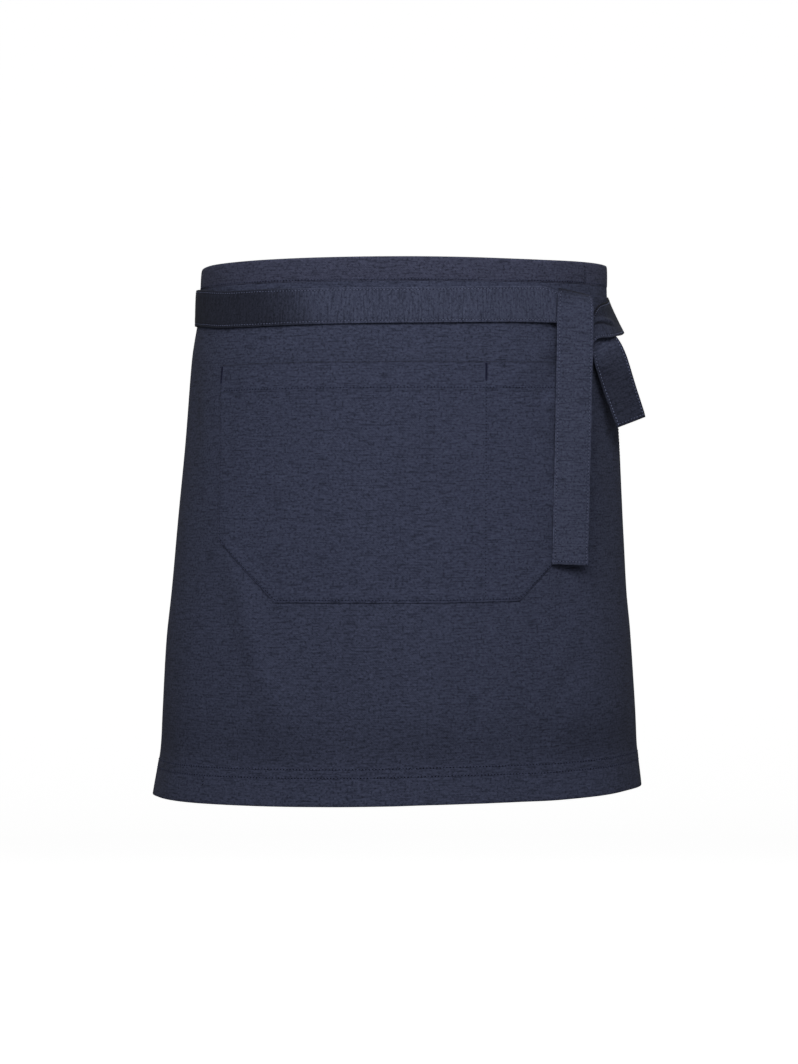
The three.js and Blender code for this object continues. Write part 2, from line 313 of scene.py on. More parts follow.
def toned(tree: bpy.types.NodeTree, colour: bpy.types.NodeSocket) -> bpy.types.NodeSocket:
    """A colour times the piece's own tone, which its mesh keeps for each vertex.

    Args:
        tree: the material's node tree.
        colour: the output with the colour.

    Returns:
        The output with the toned colour.
    """
    tone = add_node(tree, "ShaderNodeAttribute", {}, attribute_name=TONE).outputs["Color"]
    sockets = {0: 1.0, MixSocket.FIRST.value: colour, MixSocket.SECOND.value: tone}
    mix = add_node(tree, "ShaderNodeMix", sockets, data_type="RGBA", blend_type="MULTIPLY")
    return mix.outputs[MixSocket.RESULT.value]


@dataclass(frozen=True)
class Chambray:
    """Cotton chambray: a plain weave of deep navy warp and paler, uneven weft, piece washed and matt.

    The eye gets a heathered navy: short flecks where the paler weft shows, longer dark slubs where it is
    thick or thin, no gloss, and a faint bloom at a glance. The weft runs along the cloth map's first axis.
    """

    name: str
    deep: str
    pale: str
    slub: str
    # Real threads lie about 0.4 mm apart. They are drawn coarser, so that the weave shows close up.
    thread: float = 0.72
    weave_share: float = 0.22
    grains: tuple[Grain, ...] = (
        Grain(Tint.PALE, 2.6, 1.7, 0.22, 0.76, 1.0, 2.0),
        Grain(Tint.SLUB, 13.0, 1.4, 0.50, 0.72, 0.62),
        Grain(Tint.PALE, 10.0, 1.4, 0.52, 0.74, 0.55),
        Grain(Tint.SLUB, 2.0, 1.7, 0.60, 0.71, 0.60, 0.0),
        Grain(Tint.DEEP, 34.0, 34.0, 0.35, 0.65, 0.10, 2.0),
    )
    rough_low: float = 0.84
    rough_high: float = 0.97
    specular: float = 0.10
    sheen: float = 0.02
    sheen_rough: float = 0.55
    bump_strength: float = 0.5
    bump_height: float = 0.2
    # Along the weft a yarn isn't cut into steps, so the step there is too short to show.
    weft_step: float = 0.001
    # Grains lower than this many threads keep to whole yarns. Each grain reads another place of the noise.
    fine_threads: float = 3.0
    grain_shift: tuple[float, float] = (37.0, 53.0)
    grain_rough: float = 0.6

    def cut_across(self, stretch: float) -> "Chambray":
        """The same cloth in narrow strips, with slubs drawn longer so that they run from edge to edge."""
        grains = [replace(grain, length=grain.length * stretch) if grain.detail == 1.0 else grain
                  for grain in self.grains]
        return replace(self, grains=tuple(grains))

    def weave(self, tree: bpy.types.NodeTree, place: bpy.types.NodeSocket) -> bpy.types.NodeSocket:
        """The plain weave's height: the product of a sine along the cloth and a sine across it.

        Args:
            tree: the material's node tree.
            place: the output with the place on the cloth map, in mm.

        Returns:
            The output with the height, from -1 to 1.
        """
        count = np.pi / self.thread
        sockets = {0: place, 1: (count, count, 0.0)}
        turned = add_node(tree, "ShaderNodeVectorMath", sockets, operation="MULTIPLY")
        waves = add_node(tree, "ShaderNodeVectorMath", {0: turned.outputs[0]}, operation="SINE")
        parts = add_node(tree, "ShaderNodeSeparateXYZ", {0: waves.outputs[0]}).outputs
        return add_node(tree, "ShaderNodeMath", {0: parts[0], 1: parts[1]}, operation="MULTIPLY").outputs[0]

    def noises(self, tree: bpy.types.NodeTree, place: bpy.types.NodeSocket) -> list[bpy.types.NodeSocket]:
        """Noise for each grain, as long and as high as the grain. Fine grains keep to whole yarns.

        Args:
            tree: the material's node tree.
            place: the output with the place on the cloth map, in mm.

        Returns:
            The outputs with the noises, from 0 to 1.
        """
        sockets = {0: place, 1: (self.weft_step, self.thread, 1.0)}
        yarns = add_node(tree, "ShaderNodeVectorMath", sockets, operation="SNAP").outputs[0]
        noises = []
        for number, grain in enumerate(self.grains):
            sockets = {
                0: yarns if grain.height < self.fine_threads * self.thread else place,
                1: (1.0 / grain.length, 1.0 / grain.height, 1.0),
                2: (self.grain_shift[0] * number, self.grain_shift[1] * number, 0.0),
            }
            moved = add_node(tree, "ShaderNodeVectorMath", sockets, operation="MULTIPLY_ADD")
            sockets = {"Vector": moved.outputs[0], "Scale": 1.0, "Detail": grain.detail,
                       "Roughness": self.grain_rough}
            noises.append(add_node(tree, "ShaderNodeTexNoise", sockets).outputs["Fac"])
        return noises

    def build(self) -> bpy.types.Material:
        """Builds the material: layers of uneven yarn and the weave from the cloth map, and the tone.

        Returns:
            The material.
        """
        values = {"Specular IOR Level": self.specular, "Sheen Weight": self.sheen,
                  "Sheen Roughness": self.sheen_rough}
        material, shader = new_material(self.name, values)
        tree = material.node_tree
        place = add_node(tree, "ShaderNodeUVMap", {}, uv_map=CLOTH_MAP).outputs["UV"]
        weave = self.weave(tree, place)
        noises = self.noises(tree, place)
        layers = [(noise, grain.low, grain.high, grain.amount, grain.tint)
                  for noise, grain in zip(noises, self.grains)]
        layers.append((weave, -1.0, 1.0, self.weave_share, Tint.SLUB))
        colour = linear_colour(self.deep)
        for value, low, high, amount, tint in layers:
            limits = {"Value": value, 1: low, 2: high, 3: 0.0, 4: amount}
            share = add_node(tree, "ShaderNodeMapRange", limits).outputs["Result"]
            sockets = {0: share, MixSocket.FIRST.value: colour,
                       MixSocket.SECOND.value: linear_colour(getattr(self, tint.value))}
            mix = add_node(tree, "ShaderNodeMix", sockets, data_type="RGBA")
            colour = mix.outputs[MixSocket.RESULT.value]
        sockets = {0: weave, 1: 0.5, 2: noises[0]}
        relief = add_node(tree, "ShaderNodeMath", sockets, operation="MULTIPLY_ADD").outputs[0]
        sockets = {"Strength": self.bump_strength, "Distance": self.bump_height * MM, "Height": relief}
        bump = add_node(tree, "ShaderNodeBump", sockets)
        limits = {"Value": noises[0], 1: 0.3, 2: 0.7, 3: self.rough_low, 4: self.rough_high}
        rough = add_node(tree, "ShaderNodeMapRange", limits)
        tree.links.new(toned(tree, colour), shader.inputs["Base Color"])
        tree.links.new(rough.outputs["Result"], shader.inputs["Roughness"])
        tree.links.new(bump.outputs["Normal"], shader.inputs["Normal"])
        return material


@dataclass(frozen=True)
class SewingThread:
    """Spun polyester sewing thread: two plies, dyed to match.

    The eye gets short dashes that flicker a little between two navies, with hardly any gloss.
    """

    name: str
    colour: str
    fleck: str
    # The plies' twist is about 0.5 mm long.
    twist: float = 0.5
    rough: float = 0.7
    specular: float = 0.12

    def build(self) -> bpy.types.Material:
        """Builds the material: a dyed colour that flickers along the twist, and the tone.

        Returns:
            The material.
        """
        values = {"Roughness": self.rough, "Specular IOR Level": self.specular}
        material, shader = new_material(self.name, values)
        tree = material.node_tree
        place = add_node(tree, "ShaderNodeTexCoord", {}).outputs["Object"]
        noise = add_node(tree, "ShaderNodeTexNoise", {"Vector": place, "Scale": 1.0 / (self.twist * MM)})
        sockets = {0: noise.outputs["Fac"], MixSocket.FIRST.value: linear_colour(self.colour),
                   MixSocket.SECOND.value: linear_colour(self.fleck)}
        mix = add_node(tree, "ShaderNodeMix", sockets, data_type="RGBA")
        tree.links.new(toned(tree, mix.outputs[MixSocket.RESULT.value]), shader.inputs["Base Color"])
        return material


@dataclass(frozen=True)
class Stitch:
    """One lockstitch as it shows: a thread that dips into the cloth at both ends, and a low dark cap over the
    needle hole, painted shade for the hole.

    Sizes are in mm. The height is a share of the width, the rings' place a share of the half length, and the
    crowding in a bar tack a share of the width. The hole has a length along the row and a width across it.
    """

    pitch: float = 2.82
    length: float = 1.9
    width: float = 0.7
    rise: float = 0.1
    dip: float = 0.25
    height: float = 0.8
    sides: int = 5
    ring: float = 0.55
    crowding: float = 0.7
    tone: float = 1.0
    # The needle hole is drawn as a low dark cap: painted shade.
    hole: tuple[float, float] = (0.95, 1.45)
    hole_height: float = 0.14
    hole_tone: float = 0.12

    def painted_hole_shade(self) -> "Stitch":
        """Painted shade for the needle hole between two threads: a low dark cap."""
        return replace(self, length=self.hole[0], width=self.hole[1], rise=0.0, height=self.hole_height,
                       tone=self.hole_tone)

    def shell(self, centres: Array, along: Array, normals: Array) -> Shell:
        """Threads at many places: rings round an arched line, closed by a point at each end.

        A ring at the share x of the length, from -1 to 1, stands rise * (1 - x^2) above the cloth. Its half
        width is the thread's times sqrt(1 - x^4), and its half height is that times the height's share.

        Args:
            centres: each thread's middle on the cloth (n, 3).
            along: each thread's direction (n, 3).
            normals: the cloth's outward direction there (n, 3).

        Returns:
            All the threads as one shell of triangles.
        """
        share = np.array([-self.ring, 0.0, self.ring])
        turn = np.arange(self.sides) * 2.0 * np.pi / self.sides
        radius = self.width / 2.0 * np.sqrt(1.0 - share ** 4)
        x = np.repeat(share * self.length / 2.0, self.sides)
        y = np.outer(radius, np.cos(turn)).ravel()
        arch = np.repeat(self.rise * (1.0 - share ** 2), self.sides)
        z = self.height * np.outer(radius, np.sin(turn)).ravel() + arch
        ends = np.array([[-self.length / 2.0, 0.0, -self.dip], [self.length / 2.0, 0.0, -self.dip]])
        local = np.concatenate([np.stack([x, y, z], axis=-1), ends])
        across = unit(np.cross(normals, along))
        axes = np.stack([along, across, unit(np.cross(along, across))], axis=1)
        vertices = centres[:, None, :] + np.einsum("vk,nkc->nvc", local, axes)
        ring = np.arange(self.sides)
        after = (ring + 1) % self.sides
        low = np.concatenate([ring, ring + self.sides])
        low_after = np.concatenate([after, after + self.sides])
        last = 2 * self.sides
        tail = np.full(self.sides, 3 * self.sides)
        faces = np.concatenate([
            np.stack([low, low + self.sides, low_after + self.sides], axis=-1),
            np.stack([low, low_after + self.sides, low_after], axis=-1),
            np.stack([tail, ring, after], axis=-1),
            np.stack([tail + 1, after + last, ring + last], axis=-1),
        ])
        offsets = np.arange(len(centres)) * len(local)
        return Shell(
            vertices=vertices.reshape(-1, 3),
            faces=(faces[None] + offsets[:, None, None]).reshape(-1, 3),
            flat=np.zeros((vertices.size // 3, 2)),
            tone=np.full(vertices.size // 3, self.tone),
        )

    def row(self, points: Array, normals: Array) -> Shell:
        """Threads along a line on the cloth, one to each pitch, with a cap of painted shade for the needle
        hole between each two.

        Args:
            points: the line's points (n, 3), close together.
            normals: the cloth's outward direction at each point (n, 3).

        Returns:
            The row's threads and holes.
        """
        places = ways(points)
        count = max(1, int(places[-1] // self.pitch))
        at = (np.arange(2 * count) + 0.5) * places[-1] / (2.0 * count)
        values = np.concatenate([points, normals], axis=1).T
        here, ahead, behind = (np.stack([np.interp(at + step, places, value) for value in values], axis=-1)
                               for step in (0.0, 0.5, -0.5))
        along = unit(ahead[:, :3] - behind[:, :3])
        outward = unit(here[:, 3:])
        parts = ((self, slice(0, None, 2)), (self.painted_hole_shade(), slice(1, None, 2)))
        return joined([part.shell(here[pick, :3], along[pick], outward[pick]) for part, pick in parts])

    def bar(self, points: Array, normals: Array, span: float) -> Shell:
        """A bar tack: threads side by side across a short line.

        Args:
            points: the two ends of the line (2, 3).
            normals: the cloth's outward direction at both ends (2, 3).
            span: how long each crossing thread is.

        Returns:
            The tack's threads.
        """
        reach = points[1] - points[0]
        count = int(np.linalg.norm(reach) / (self.crowding * self.width))
        share = np.linspace(0.0, 1.0, count)[:, None]
        outward = unit(normals[0] + (normals[1] - normals[0]) * share)
        across = unit(np.cross(outward, np.broadcast_to(reach, outward.shape)))
        wide = replace(self, length=span)
        return wide.shell(points[0] + reach * share, across, outward)


def joined(shells: list[Shell]) -> Shell:
    """Several shells as one: their arrays end to end, with the faces counted on.

    Args:
        shells: the shells, in order.

    Returns:
        One shell.
    """
    starts = np.cumsum([0] + [len(shell.vertices) for shell in shells[:-1]])
    return Shell(
        vertices=np.concatenate([shell.vertices for shell in shells]),
        faces=np.concatenate([shell.faces + start for shell, start in zip(shells, starts)]),
        flat=np.concatenate([shell.flat for shell in shells]),
        tone=np.concatenate([shell.tone for shell in shells]),
    )


def column(rows: tuple[object, ...], name: str) -> Array:
    """A named column of a table, whose rows are dataclasses."""
    return np.array([getattr(row, name) for row in rows], float)


def front_angle(angle: Array) -> Array:
    """The same angle counted from the centre front, from -180 to 180 degrees."""
    return np.mod(angle + 180.0, 360.0) - 180.0


@dataclass(frozen=True)
class Section:
    """A level of the waist and hips: its half sizes in mm, how far round the panel reaches to each side, in
    degrees, and how far the level sinks at the left side and lifts at the right one, in mm.
    """

    drop: float
    left: float
    right: float
    depth: float
    left_end: float
    right_end: float
    sink: float
    lift: float


@dataclass(frozen=True)
class Fold:
    """A soft drape fold: its place and width at the hem in degrees, its swell in mm, and where it starts."""

    angle: float
    spread: float
    swell: float
    start: float


@dataclass(frozen=True)
class Sag:
    """A place along the hem, in degrees, and how far the cloth hangs lower there, in mm."""

    angle: float
    drop: float


@dataclass(frozen=True)
class Pull:
    """A soft crease between two places of the worn cloth, in degrees round and mm down, with its swell."""

    angle_from: float
    drop_from: float
    angle_to: float
    drop_to: float
    width: float
    swell: float


@dataclass(frozen=True)
class Wave:
    """A slow wave round the body: its swell in mm, how many go round, its drift for each mm, its phase."""

    swell: float
    count: float
    drift: float
    phase: float


@dataclass(frozen=True)
class WornForm:
    """The form that the cloth takes over waist and hips, which every piece is laid on."""

    sections: tuple[Section, ...] = (
        Section(0, 176.0, 178.2, 115.0, 95, 82, 0.0, 1.6),
        Section(32, 178.2, 179.6, 116.2, 95, 80, 0.1, 1.7),
        Section(80, 185.5, 183.3, 118.0, 96, 86, 0.4, 2.8),
        Section(160, 191.7, 188.7, 120.5, 97, 91, 0.8, 4.0),
        Section(240, 199.8, 192.3, 123.0, 99, 95, 1.2, 4.8),
        Section(285, 204.2, 194.3, 124.6, 100, 96.6, 1.45, 5.0),
        Section(320, 207.7, 197.6, 126.0, 101, 98, 1.7, 5.2),
        Section(400, 212.0, 203.6, 128.5, 103, 101, 2.2, 5.3),
        Section(456, 219.0, 208.4, 131.0, 104, 103, 2.5, 6.3),
    )
    folds: tuple[Fold, ...] = (
        Fold(-60, 12, 2.6, 180),
        Fold(-26, 11, -2.2, 240),
        Fold(5, 10, 2.4, 260),
        Fold(30, 9, -2.8, 220),
        Fold(55, 10, 2.6, 200),
    )
    pulls: tuple[Pull, ...] = (
        Pull(46, 62, 27, 108, 7, 1.7),
        Pull(47, 74, 34, 138, 7, -1.5),
        Pull(49, 118, 33, 126, 6, 1.1),
        Pull(49, 158, 35, 150, 6, -1.0),
        Pull(48, 196, 36, 210, 7, 1.1),
        Pull(-58, 62, -30, 78, 10, 0.5),
        Pull(62, 90, 70, 210, 14, -0.9),
        Pull(-78, 70, -66, 190, 14, -0.8),
        Pull(-47, 240, -27, 410, 12, 3.0),
        Pull(12, 290, 5, 450, 11, 2.2),
        Pull(2, 40, 4, 160, 12, 1.3),
        Pull(52, 320, 30, 425, 12, -1.6),
        Pull(47, 40, 43, 330, 10, -1.6),
    )
    sags: tuple[Sag, ...] = (
        Sag(-76, 0.0),
        Sag(-62, 0.8),
        Sag(-50, 1.45),
        Sag(-28, 2.0),
        Sag(-16, 1.65),
        Sag(-4, 0.6),
        Sag(6, -0.6),
        Sag(13, -0.75),
        Sag(20, -0.5),
        Sag(28, 0.0),
        Sag(38, 0.7),
        Sag(48, 0.7),
        Sag(66, 0.0),
    )
    # Slow waves round the body, from broad to short.
    waves: tuple[Wave, ...] = (
        Wave(0.34, 7.0, 0.011, 0.6),
        Wave(0.26, 11.0, -0.017, 2.1),
        Wave(0.18, 17.0, 0.026, 4.0),
        Wave(0.14, 5.0, 0.041, 1.2),
    )
    # Shares of a crease's length over which it rises and dies away, and drops over which the relief starts.
    pull_start: tuple[float, float] = (-0.1, 0.25)
    pull_end: tuple[float, float] = (0.6, 1.15)
    relief_start: tuple[float, float] = (56.0, 105.0)
    band_height: float = 20.5
    side_rise: float = 1.6
    sag_start: float = 300.0
    hem_drop: float = 456.0
    arc_per_degree: float = 3.0

    def level(self, name: str, drop: Array) -> Array:
        """A column of the sections, read at any drop."""
        return smooth_curve(column(self.sections, "drop"), column(self.sections, name), drop)

    def swell(self, angle: Array, drop: Array) -> Array:
        """How far the drape folds push the cloth out: a bell round each fold, growing down to the hem."""
        return sum(fold.swell * bell(front_angle(angle) - fold.angle, fold.spread)
                   * ease(fold.start, self.hem_drop, drop) for fold in self.folds)

    def sag(self, angle: Array, drop: Array) -> Array:
        """How far the cloth hangs lower than its level: a smooth curve along the hem, fading upwards."""
        curve = smooth_curve(column(self.sags, "angle"), column(self.sags, "drop"), front_angle(angle))
        return curve * ease(self.sag_start, self.hem_drop, drop)

    def seam(self, angle: Array) -> Array:
        """The drop of the waistband's lower edge: less towards the sides, by the sine squared."""
        return self.band_height - self.side_rise * np.sin(np.radians(angle)) ** 2

    def point(self, angle: Array, drop: Array, out: Array) -> Array:
        """Points of the worn cloth: an ellipse at each drop, moved out along its level normal.

        Args:
            angle: degrees from the centre front, positive to the right.
            drop: mm below the waistband's upper edge.
            out: mm outwards from the panel's outer face.

        Returns:
            Points (..., 3), in mm.
        """
        angle, drop, out = np.broadcast_arrays(angle, drop, out)
        sine, cosine = np.sin(np.radians(angle)), np.cos(np.radians(angle))
        half = np.where(sine < 0, self.level("left", drop), self.level("right", drop))
        tilt = np.where(sine < 0, -self.level("sink", drop), self.level("lift", drop))
        depth = self.level("depth", drop)
        height = tilt * sine ** 2 - drop - self.sag(angle, drop)
        place = np.stack([half * sine, -depth * cosine, height], axis=-1)
        normal = unit(np.stack([sine / half, -cosine / depth, np.zeros(sine.shape)], axis=-1))
        return place + normal * (out + self.swell(angle, drop))[..., None]

    def axes(self, angle: Array, drop: Array) -> tuple[Array, Array, Array]:
        """The cloth's directions, by differences over a short span.

        Args:
            angle: degrees from the centre front.
            drop: mm below the waistband's upper edge.

        Returns:
            The directions along the level, up and outwards (..., 3).
        """
        along = unit(self.point(angle + 1.0, drop, 0.0) - self.point(angle - 1.0, drop, 0.0))
        up = unit(self.point(angle, drop - 1.0, 0.0) - self.point(angle, drop + 1.0, 0.0))
        return along, up, unit(np.cross(along, up))

    def angle_at(self, sideways: Array, drop: Array) -> Array:
        """The angle at which the cloth stands a given way sideways: the arc sine of its share of the half."""
        half = np.where(sideways < 0, self.level("left", drop), self.level("right", drop))
        return np.degrees(np.arcsin(sideways / half))

    def arc(self, angle: Array, drop: Array) -> Array:
        """The way along the level from the centre front: Gauss's rule on the ellipse's speed.

        Args:
            angle: degrees from the centre front.
            drop: mm below the waistband's upper edge.

        Returns:
            The way, in mm, positive to the right.
        """
        angle, drop = np.broadcast_arrays(np.asarray(angle, float), np.asarray(drop, float))
        nodes, weights = np.polynomial.legendre.leggauss(ARC_NODES)
        turn = np.radians(angle)[..., None] * (nodes + 1.0) / 2.0
        half = np.where(angle < 0, self.level("left", drop), self.level("right", drop))[..., None]
        speed = np.hypot(half * np.cos(turn), self.level("depth", drop)[..., None] * np.sin(turn))
        return np.radians(angle) * (speed * weights).sum(axis=-1) / 2.0

    def relief(self, angle: Array, drop: Array) -> Array:
        """Soft unevenness of the hanging cloth, in mm out: slow waves and pulled creases below the ties.

        The waves are sines round the body whose phase drifts with the drop. A crease is a bell across the
        line between its two places, fading at both ends.

        Args:
            angle: degrees from the centre front.
            drop: mm below the waistband's upper edge.

        Returns:
            The extra out, in mm.
        """
        turn = np.radians(angle)
        waves = sum(wave.swell * np.sin(wave.count * turn + wave.drift * drop + wave.phase)
                    for wave in self.waves)
        creases = np.zeros(np.broadcast(angle, drop).shape)
        for pull in self.pulls:
            start = np.array([pull.angle_from * self.arc_per_degree, pull.drop_from])
            reach = np.array([pull.angle_to * self.arc_per_degree, pull.drop_to]) - start
            length = np.hypot(*reach)
            x = angle * self.arc_per_degree - start[0]
            y = drop - start[1]
            share = (x * reach[0] + y * reach[1]) / length ** 2
            aside = (x * reach[1] - y * reach[0]) / length
            fade = ease(*self.pull_start, share) * (1.0 - ease(*self.pull_end, share))
            creases = creases + pull.swell * bell(aside, pull.width) * fade
        return (waves + creases) * ease(*self.relief_start, drop)


class Hold(Enum):
    """How a sheet is held, in the frame's words."""

    HUNG = "hung"
    LAID = "laid"
    DRAPED = "draped"
    FOLDED = "folded"


@dataclass(frozen=True)
class Declared:
    """What is kept of a sheet: the solid it stands for, its slot, flat size in mm and hold. Only the solid is
    used, to hide it.
    """

    node: str
    slot: str
    flat: tuple[float, float]
    hold: Hold
    rests_on: tuple[str, ...]
    area: float | None = None

    def tell(self, sheet: bpy.types.Object, threads: bpy.types.Object) -> None:
        """Parents a sheet and the threads sewn into it to the body, and hides the solid it stands for.

        Args:
            sheet: the cloth's object.
            threads: the object with its stitches.
        """
        for piece in (sheet, threads):
            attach(piece, BODY)
        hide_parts(self.node)


@dataclass
class SkirtPanel:
    """The front panel: one layer, with narrow turned side hems and a deep bottom hem sewn in two rows."""

    form: WornForm
    cloth: bpy.types.Material
    thread: bpy.types.Material
    lap: float = 0.7
    hem_top: float = 424.4
    hem_rows: tuple[float, float] = (426.0, 433.0)
    hem_tack_angle: float = -51.4
    hem_tack_drops: tuple[float, float] = (433.0, 441.5)
    tuck: float = 1.8
    tuck_reach: float = 24.0
    top_fade: float = 45.0
    side_hem: float = 11.0
    side_row: float = 8.8
    single: float = 0.8
    doubled: float = 1.8
    column_step: float = 0.0056
    column_fine: float = 0.0019
    row_step: float = 3.4
    row_fine: float = 1.0
    pucker_length: float = 13.0
    pucker_reach: float = 9.0
    pucker_depth: float = 0.16
    groove_depth: float = 0.12
    hem_swell: float = 0.35
    fold_edge: float = 0.6
    usual_width: float = 520.0
    rim: float = 0.6
    # The cloth is a little paler along its worn edges. Above the hem, where it turns in, it is darkened with
    # painted shade, more so towards the right.
    worn_light: float = 0.10
    shade_depth: float = 0.14
    shade_rise: float = 20.0
    shade_reach: float = 22.0
    # Where the panel ends at its top and at its hem, in degrees, for its flat size.
    top_ends: tuple[float, float] = (-95.0, 81.0)
    hem_ends: tuple[float, float] = (-104.0, 103.0)
    stitch: Stitch = Stitch(hole=(1.5, 1.35))
    side_stitch: Stitch = Stitch(width=0.6, hole=(0.6, 0.7))

    @property
    def top(self) -> float:
        """The drop of the panel's upper edge at the centre, under the waistband's lap."""
        return self.form.band_height - self.lap

    def angle(self, share: Array, drop: Array) -> Array:
        """The angle at a share of the panel's width, from its left edge to its right."""
        left = -self.form.level("left_end", drop)
        return left + (self.form.level("right_end", drop) - left) * share

    def side_distances(self, angle: Array, drop: Array) -> tuple[Array, Array]:
        """How far a place is from the panel's side edges, along the level.

        Args:
            angle: degrees from the centre front.
            drop: mm below the waistband's upper edge.

        Returns:
            The distances from the left and the right edge, in mm.
        """
        arc = self.form.arc(angle, drop)
        left = self.form.arc(self.angle(np.zeros_like(drop), drop), drop)
        right = self.form.arc(self.angle(np.ones_like(drop), drop), drop)
        return arc - left, right - arc

    def outer_lift(self, angle: Array, drop: Array) -> Array:
        """How far out the outer face stands: the relief, seams pulled in, and puckers between them.

        A seam is a narrow bell pulled in along each sewn row. Puckers are sines along the row, in a wide
        bell across it. The tuck is a wide bell where the hem's stiffness draws the cloth in.

        Args:
            angle: degrees from the centre front.
            drop: mm below the waistband's upper edge.

        Returns:
            The out of the outer face, in mm.
        """
        left, right = self.side_distances(angle, drop)
        arc = self.form.arc(angle, drop)
        sides = np.minimum(np.abs(left - self.side_row), np.abs(right - self.side_row))
        rows = np.minimum(np.abs(drop - self.hem_rows[0]), np.abs(drop - self.hem_rows[1]))
        groove = -self.groove_depth * np.maximum(bell(rows, 1.0), bell(sides, 1.2))
        tuck = -self.tuck * bell(drop - self.hem_top, self.tuck_reach) * (0.75 + 0.25 * np.sin(arc / 21.0))
        wave = np.sin(2.0 * np.pi * arc / self.pucker_length + 1.4 * np.sin(arc / 23.0))
        pucker = self.pucker_depth * wave * bell(drop - 0.5 * sum(self.hem_rows), self.pucker_reach)
        hem_swell = self.hem_swell * ease(self.hem_top - 1.0, self.hem_top + 2.5, drop)
        return self.form.relief(angle, drop) + groove + tuck + pucker + hem_swell

    def shell(self) -> Shell:
        """The panel as a closed wall on a grid of shares of the width and drops.

        The wall is thicker in the turned hems. Its upper edge follows the waistband's seam.

        Returns:
            The panel's shell.
        """
        hem_share = self.side_hem / self.usual_width
        shares = graded(0.0, 1.0, self.column_step, self.column_fine,
                        (0.5 * hem_share, hem_share, 1.0 - hem_share, 1.0 - 0.5 * hem_share))
        drops = graded(self.top, self.form.hem_drop, self.row_step, self.row_fine,
                       (self.hem_top, *self.hem_rows))
        share, drop = np.meshgrid(shares, drops)
        angle = self.angle(share, drop)
        raised = self.form.seam(angle) - self.form.band_height
        drop = drop + raised * (1.0 - ease(self.top, self.top + self.top_fade, drop))
        left, right = self.side_distances(angle, drop)
        edge = np.minimum(left, right)
        folded = np.maximum(1.0 - ease(self.side_hem - self.fold_edge, self.side_hem + self.fold_edge, edge),
                            ease(self.hem_top - self.fold_edge, self.hem_top + self.fold_edge, drop))
        lift = self.outer_lift(angle, drop)
        thickness = self.single + (self.doubled - self.single) * folded
        flat = np.stack([self.form.arc(angle, drop), drop], axis=-1)
        worn = np.maximum(bell(self.form.hem_drop - drop, 2.2), bell(edge, 1.6))
        arc = flat[..., 0]
        # Painted shade in a band above the hem, stronger towards the right.
        shade = bell(drop - self.hem_top + self.shade_rise, self.shade_reach)
        shade = shade * (0.8 + 0.2 * np.sin(0.045 * arc + 0.8)) * (1.0 + 0.8 * ease(20.0, 200.0, arc))
        tone = 1.0 + self.worn_light * worn - self.shade_depth * shade
        outer = self.form.point(angle, drop, lift)
        inner = self.form.point(angle, drop, lift - thickness)
        return wall(outer, inner, flat, tone, self.rim)

    def threads(self) -> Shell:
        """The hem's two rows, a row down each side hem, and the short tack at the left of the hem.

        Returns:
            The threads' shell.
        """
        share = np.linspace(0.006, 0.994, 900)
        rows = []
        for hem_row in self.hem_rows:
            drop = np.full_like(share, hem_row)
            rows.append(self.sewn(self.angle(share, drop), drop, self.stitch))
        drop = np.linspace(self.top + 3.0, self.hem_rows[0] - 2.0, 500)
        width = sum(self.side_distances(self.angle(np.full_like(drop, 0.5), drop), drop))
        inset = self.side_row / width
        rows += [self.sewn(self.angle(place, drop), drop, self.side_stitch) for place in (inset, 1.0 - inset)]
        tack = np.linspace(*self.hem_tack_drops, 40)
        rows.append(self.sewn(np.full_like(tack, self.hem_tack_angle), tack, self.stitch))
        return joined(rows)

    def sewn(self, angle: Array, drop: Array, stitch: Stitch) -> Shell:
        """A row of stitches along angles and drops of the outer face."""
        points = self.form.point(angle, drop, self.outer_lift(angle, drop))
        return stitch.row(points, self.form.axes(angle, drop)[2])

    def build(self) -> list[bpy.types.Object]:
        """Returns:
            The two objects.
        """
        panel = make_piece("skirt_panel_cloth", self.shell(), self.cloth)
        threads = make_piece("skirt_panel_stitching", self.threads(), self.thread)
        top_width = float(np.diff(self.form.arc(np.array(self.top_ends), self.top))[0])
        hem_width = float(np.diff(self.form.arc(np.array(self.hem_ends), self.form.hem_drop))[0])
        length = self.form.hem_drop - self.top
        Declared("skirt_panel", "panel_chambray", (hem_width, length), Hold.HUNG, ("waistband",),
                 0.5 * (top_width + hem_width) * length).tell(panel, threads)
        return [panel, threads]


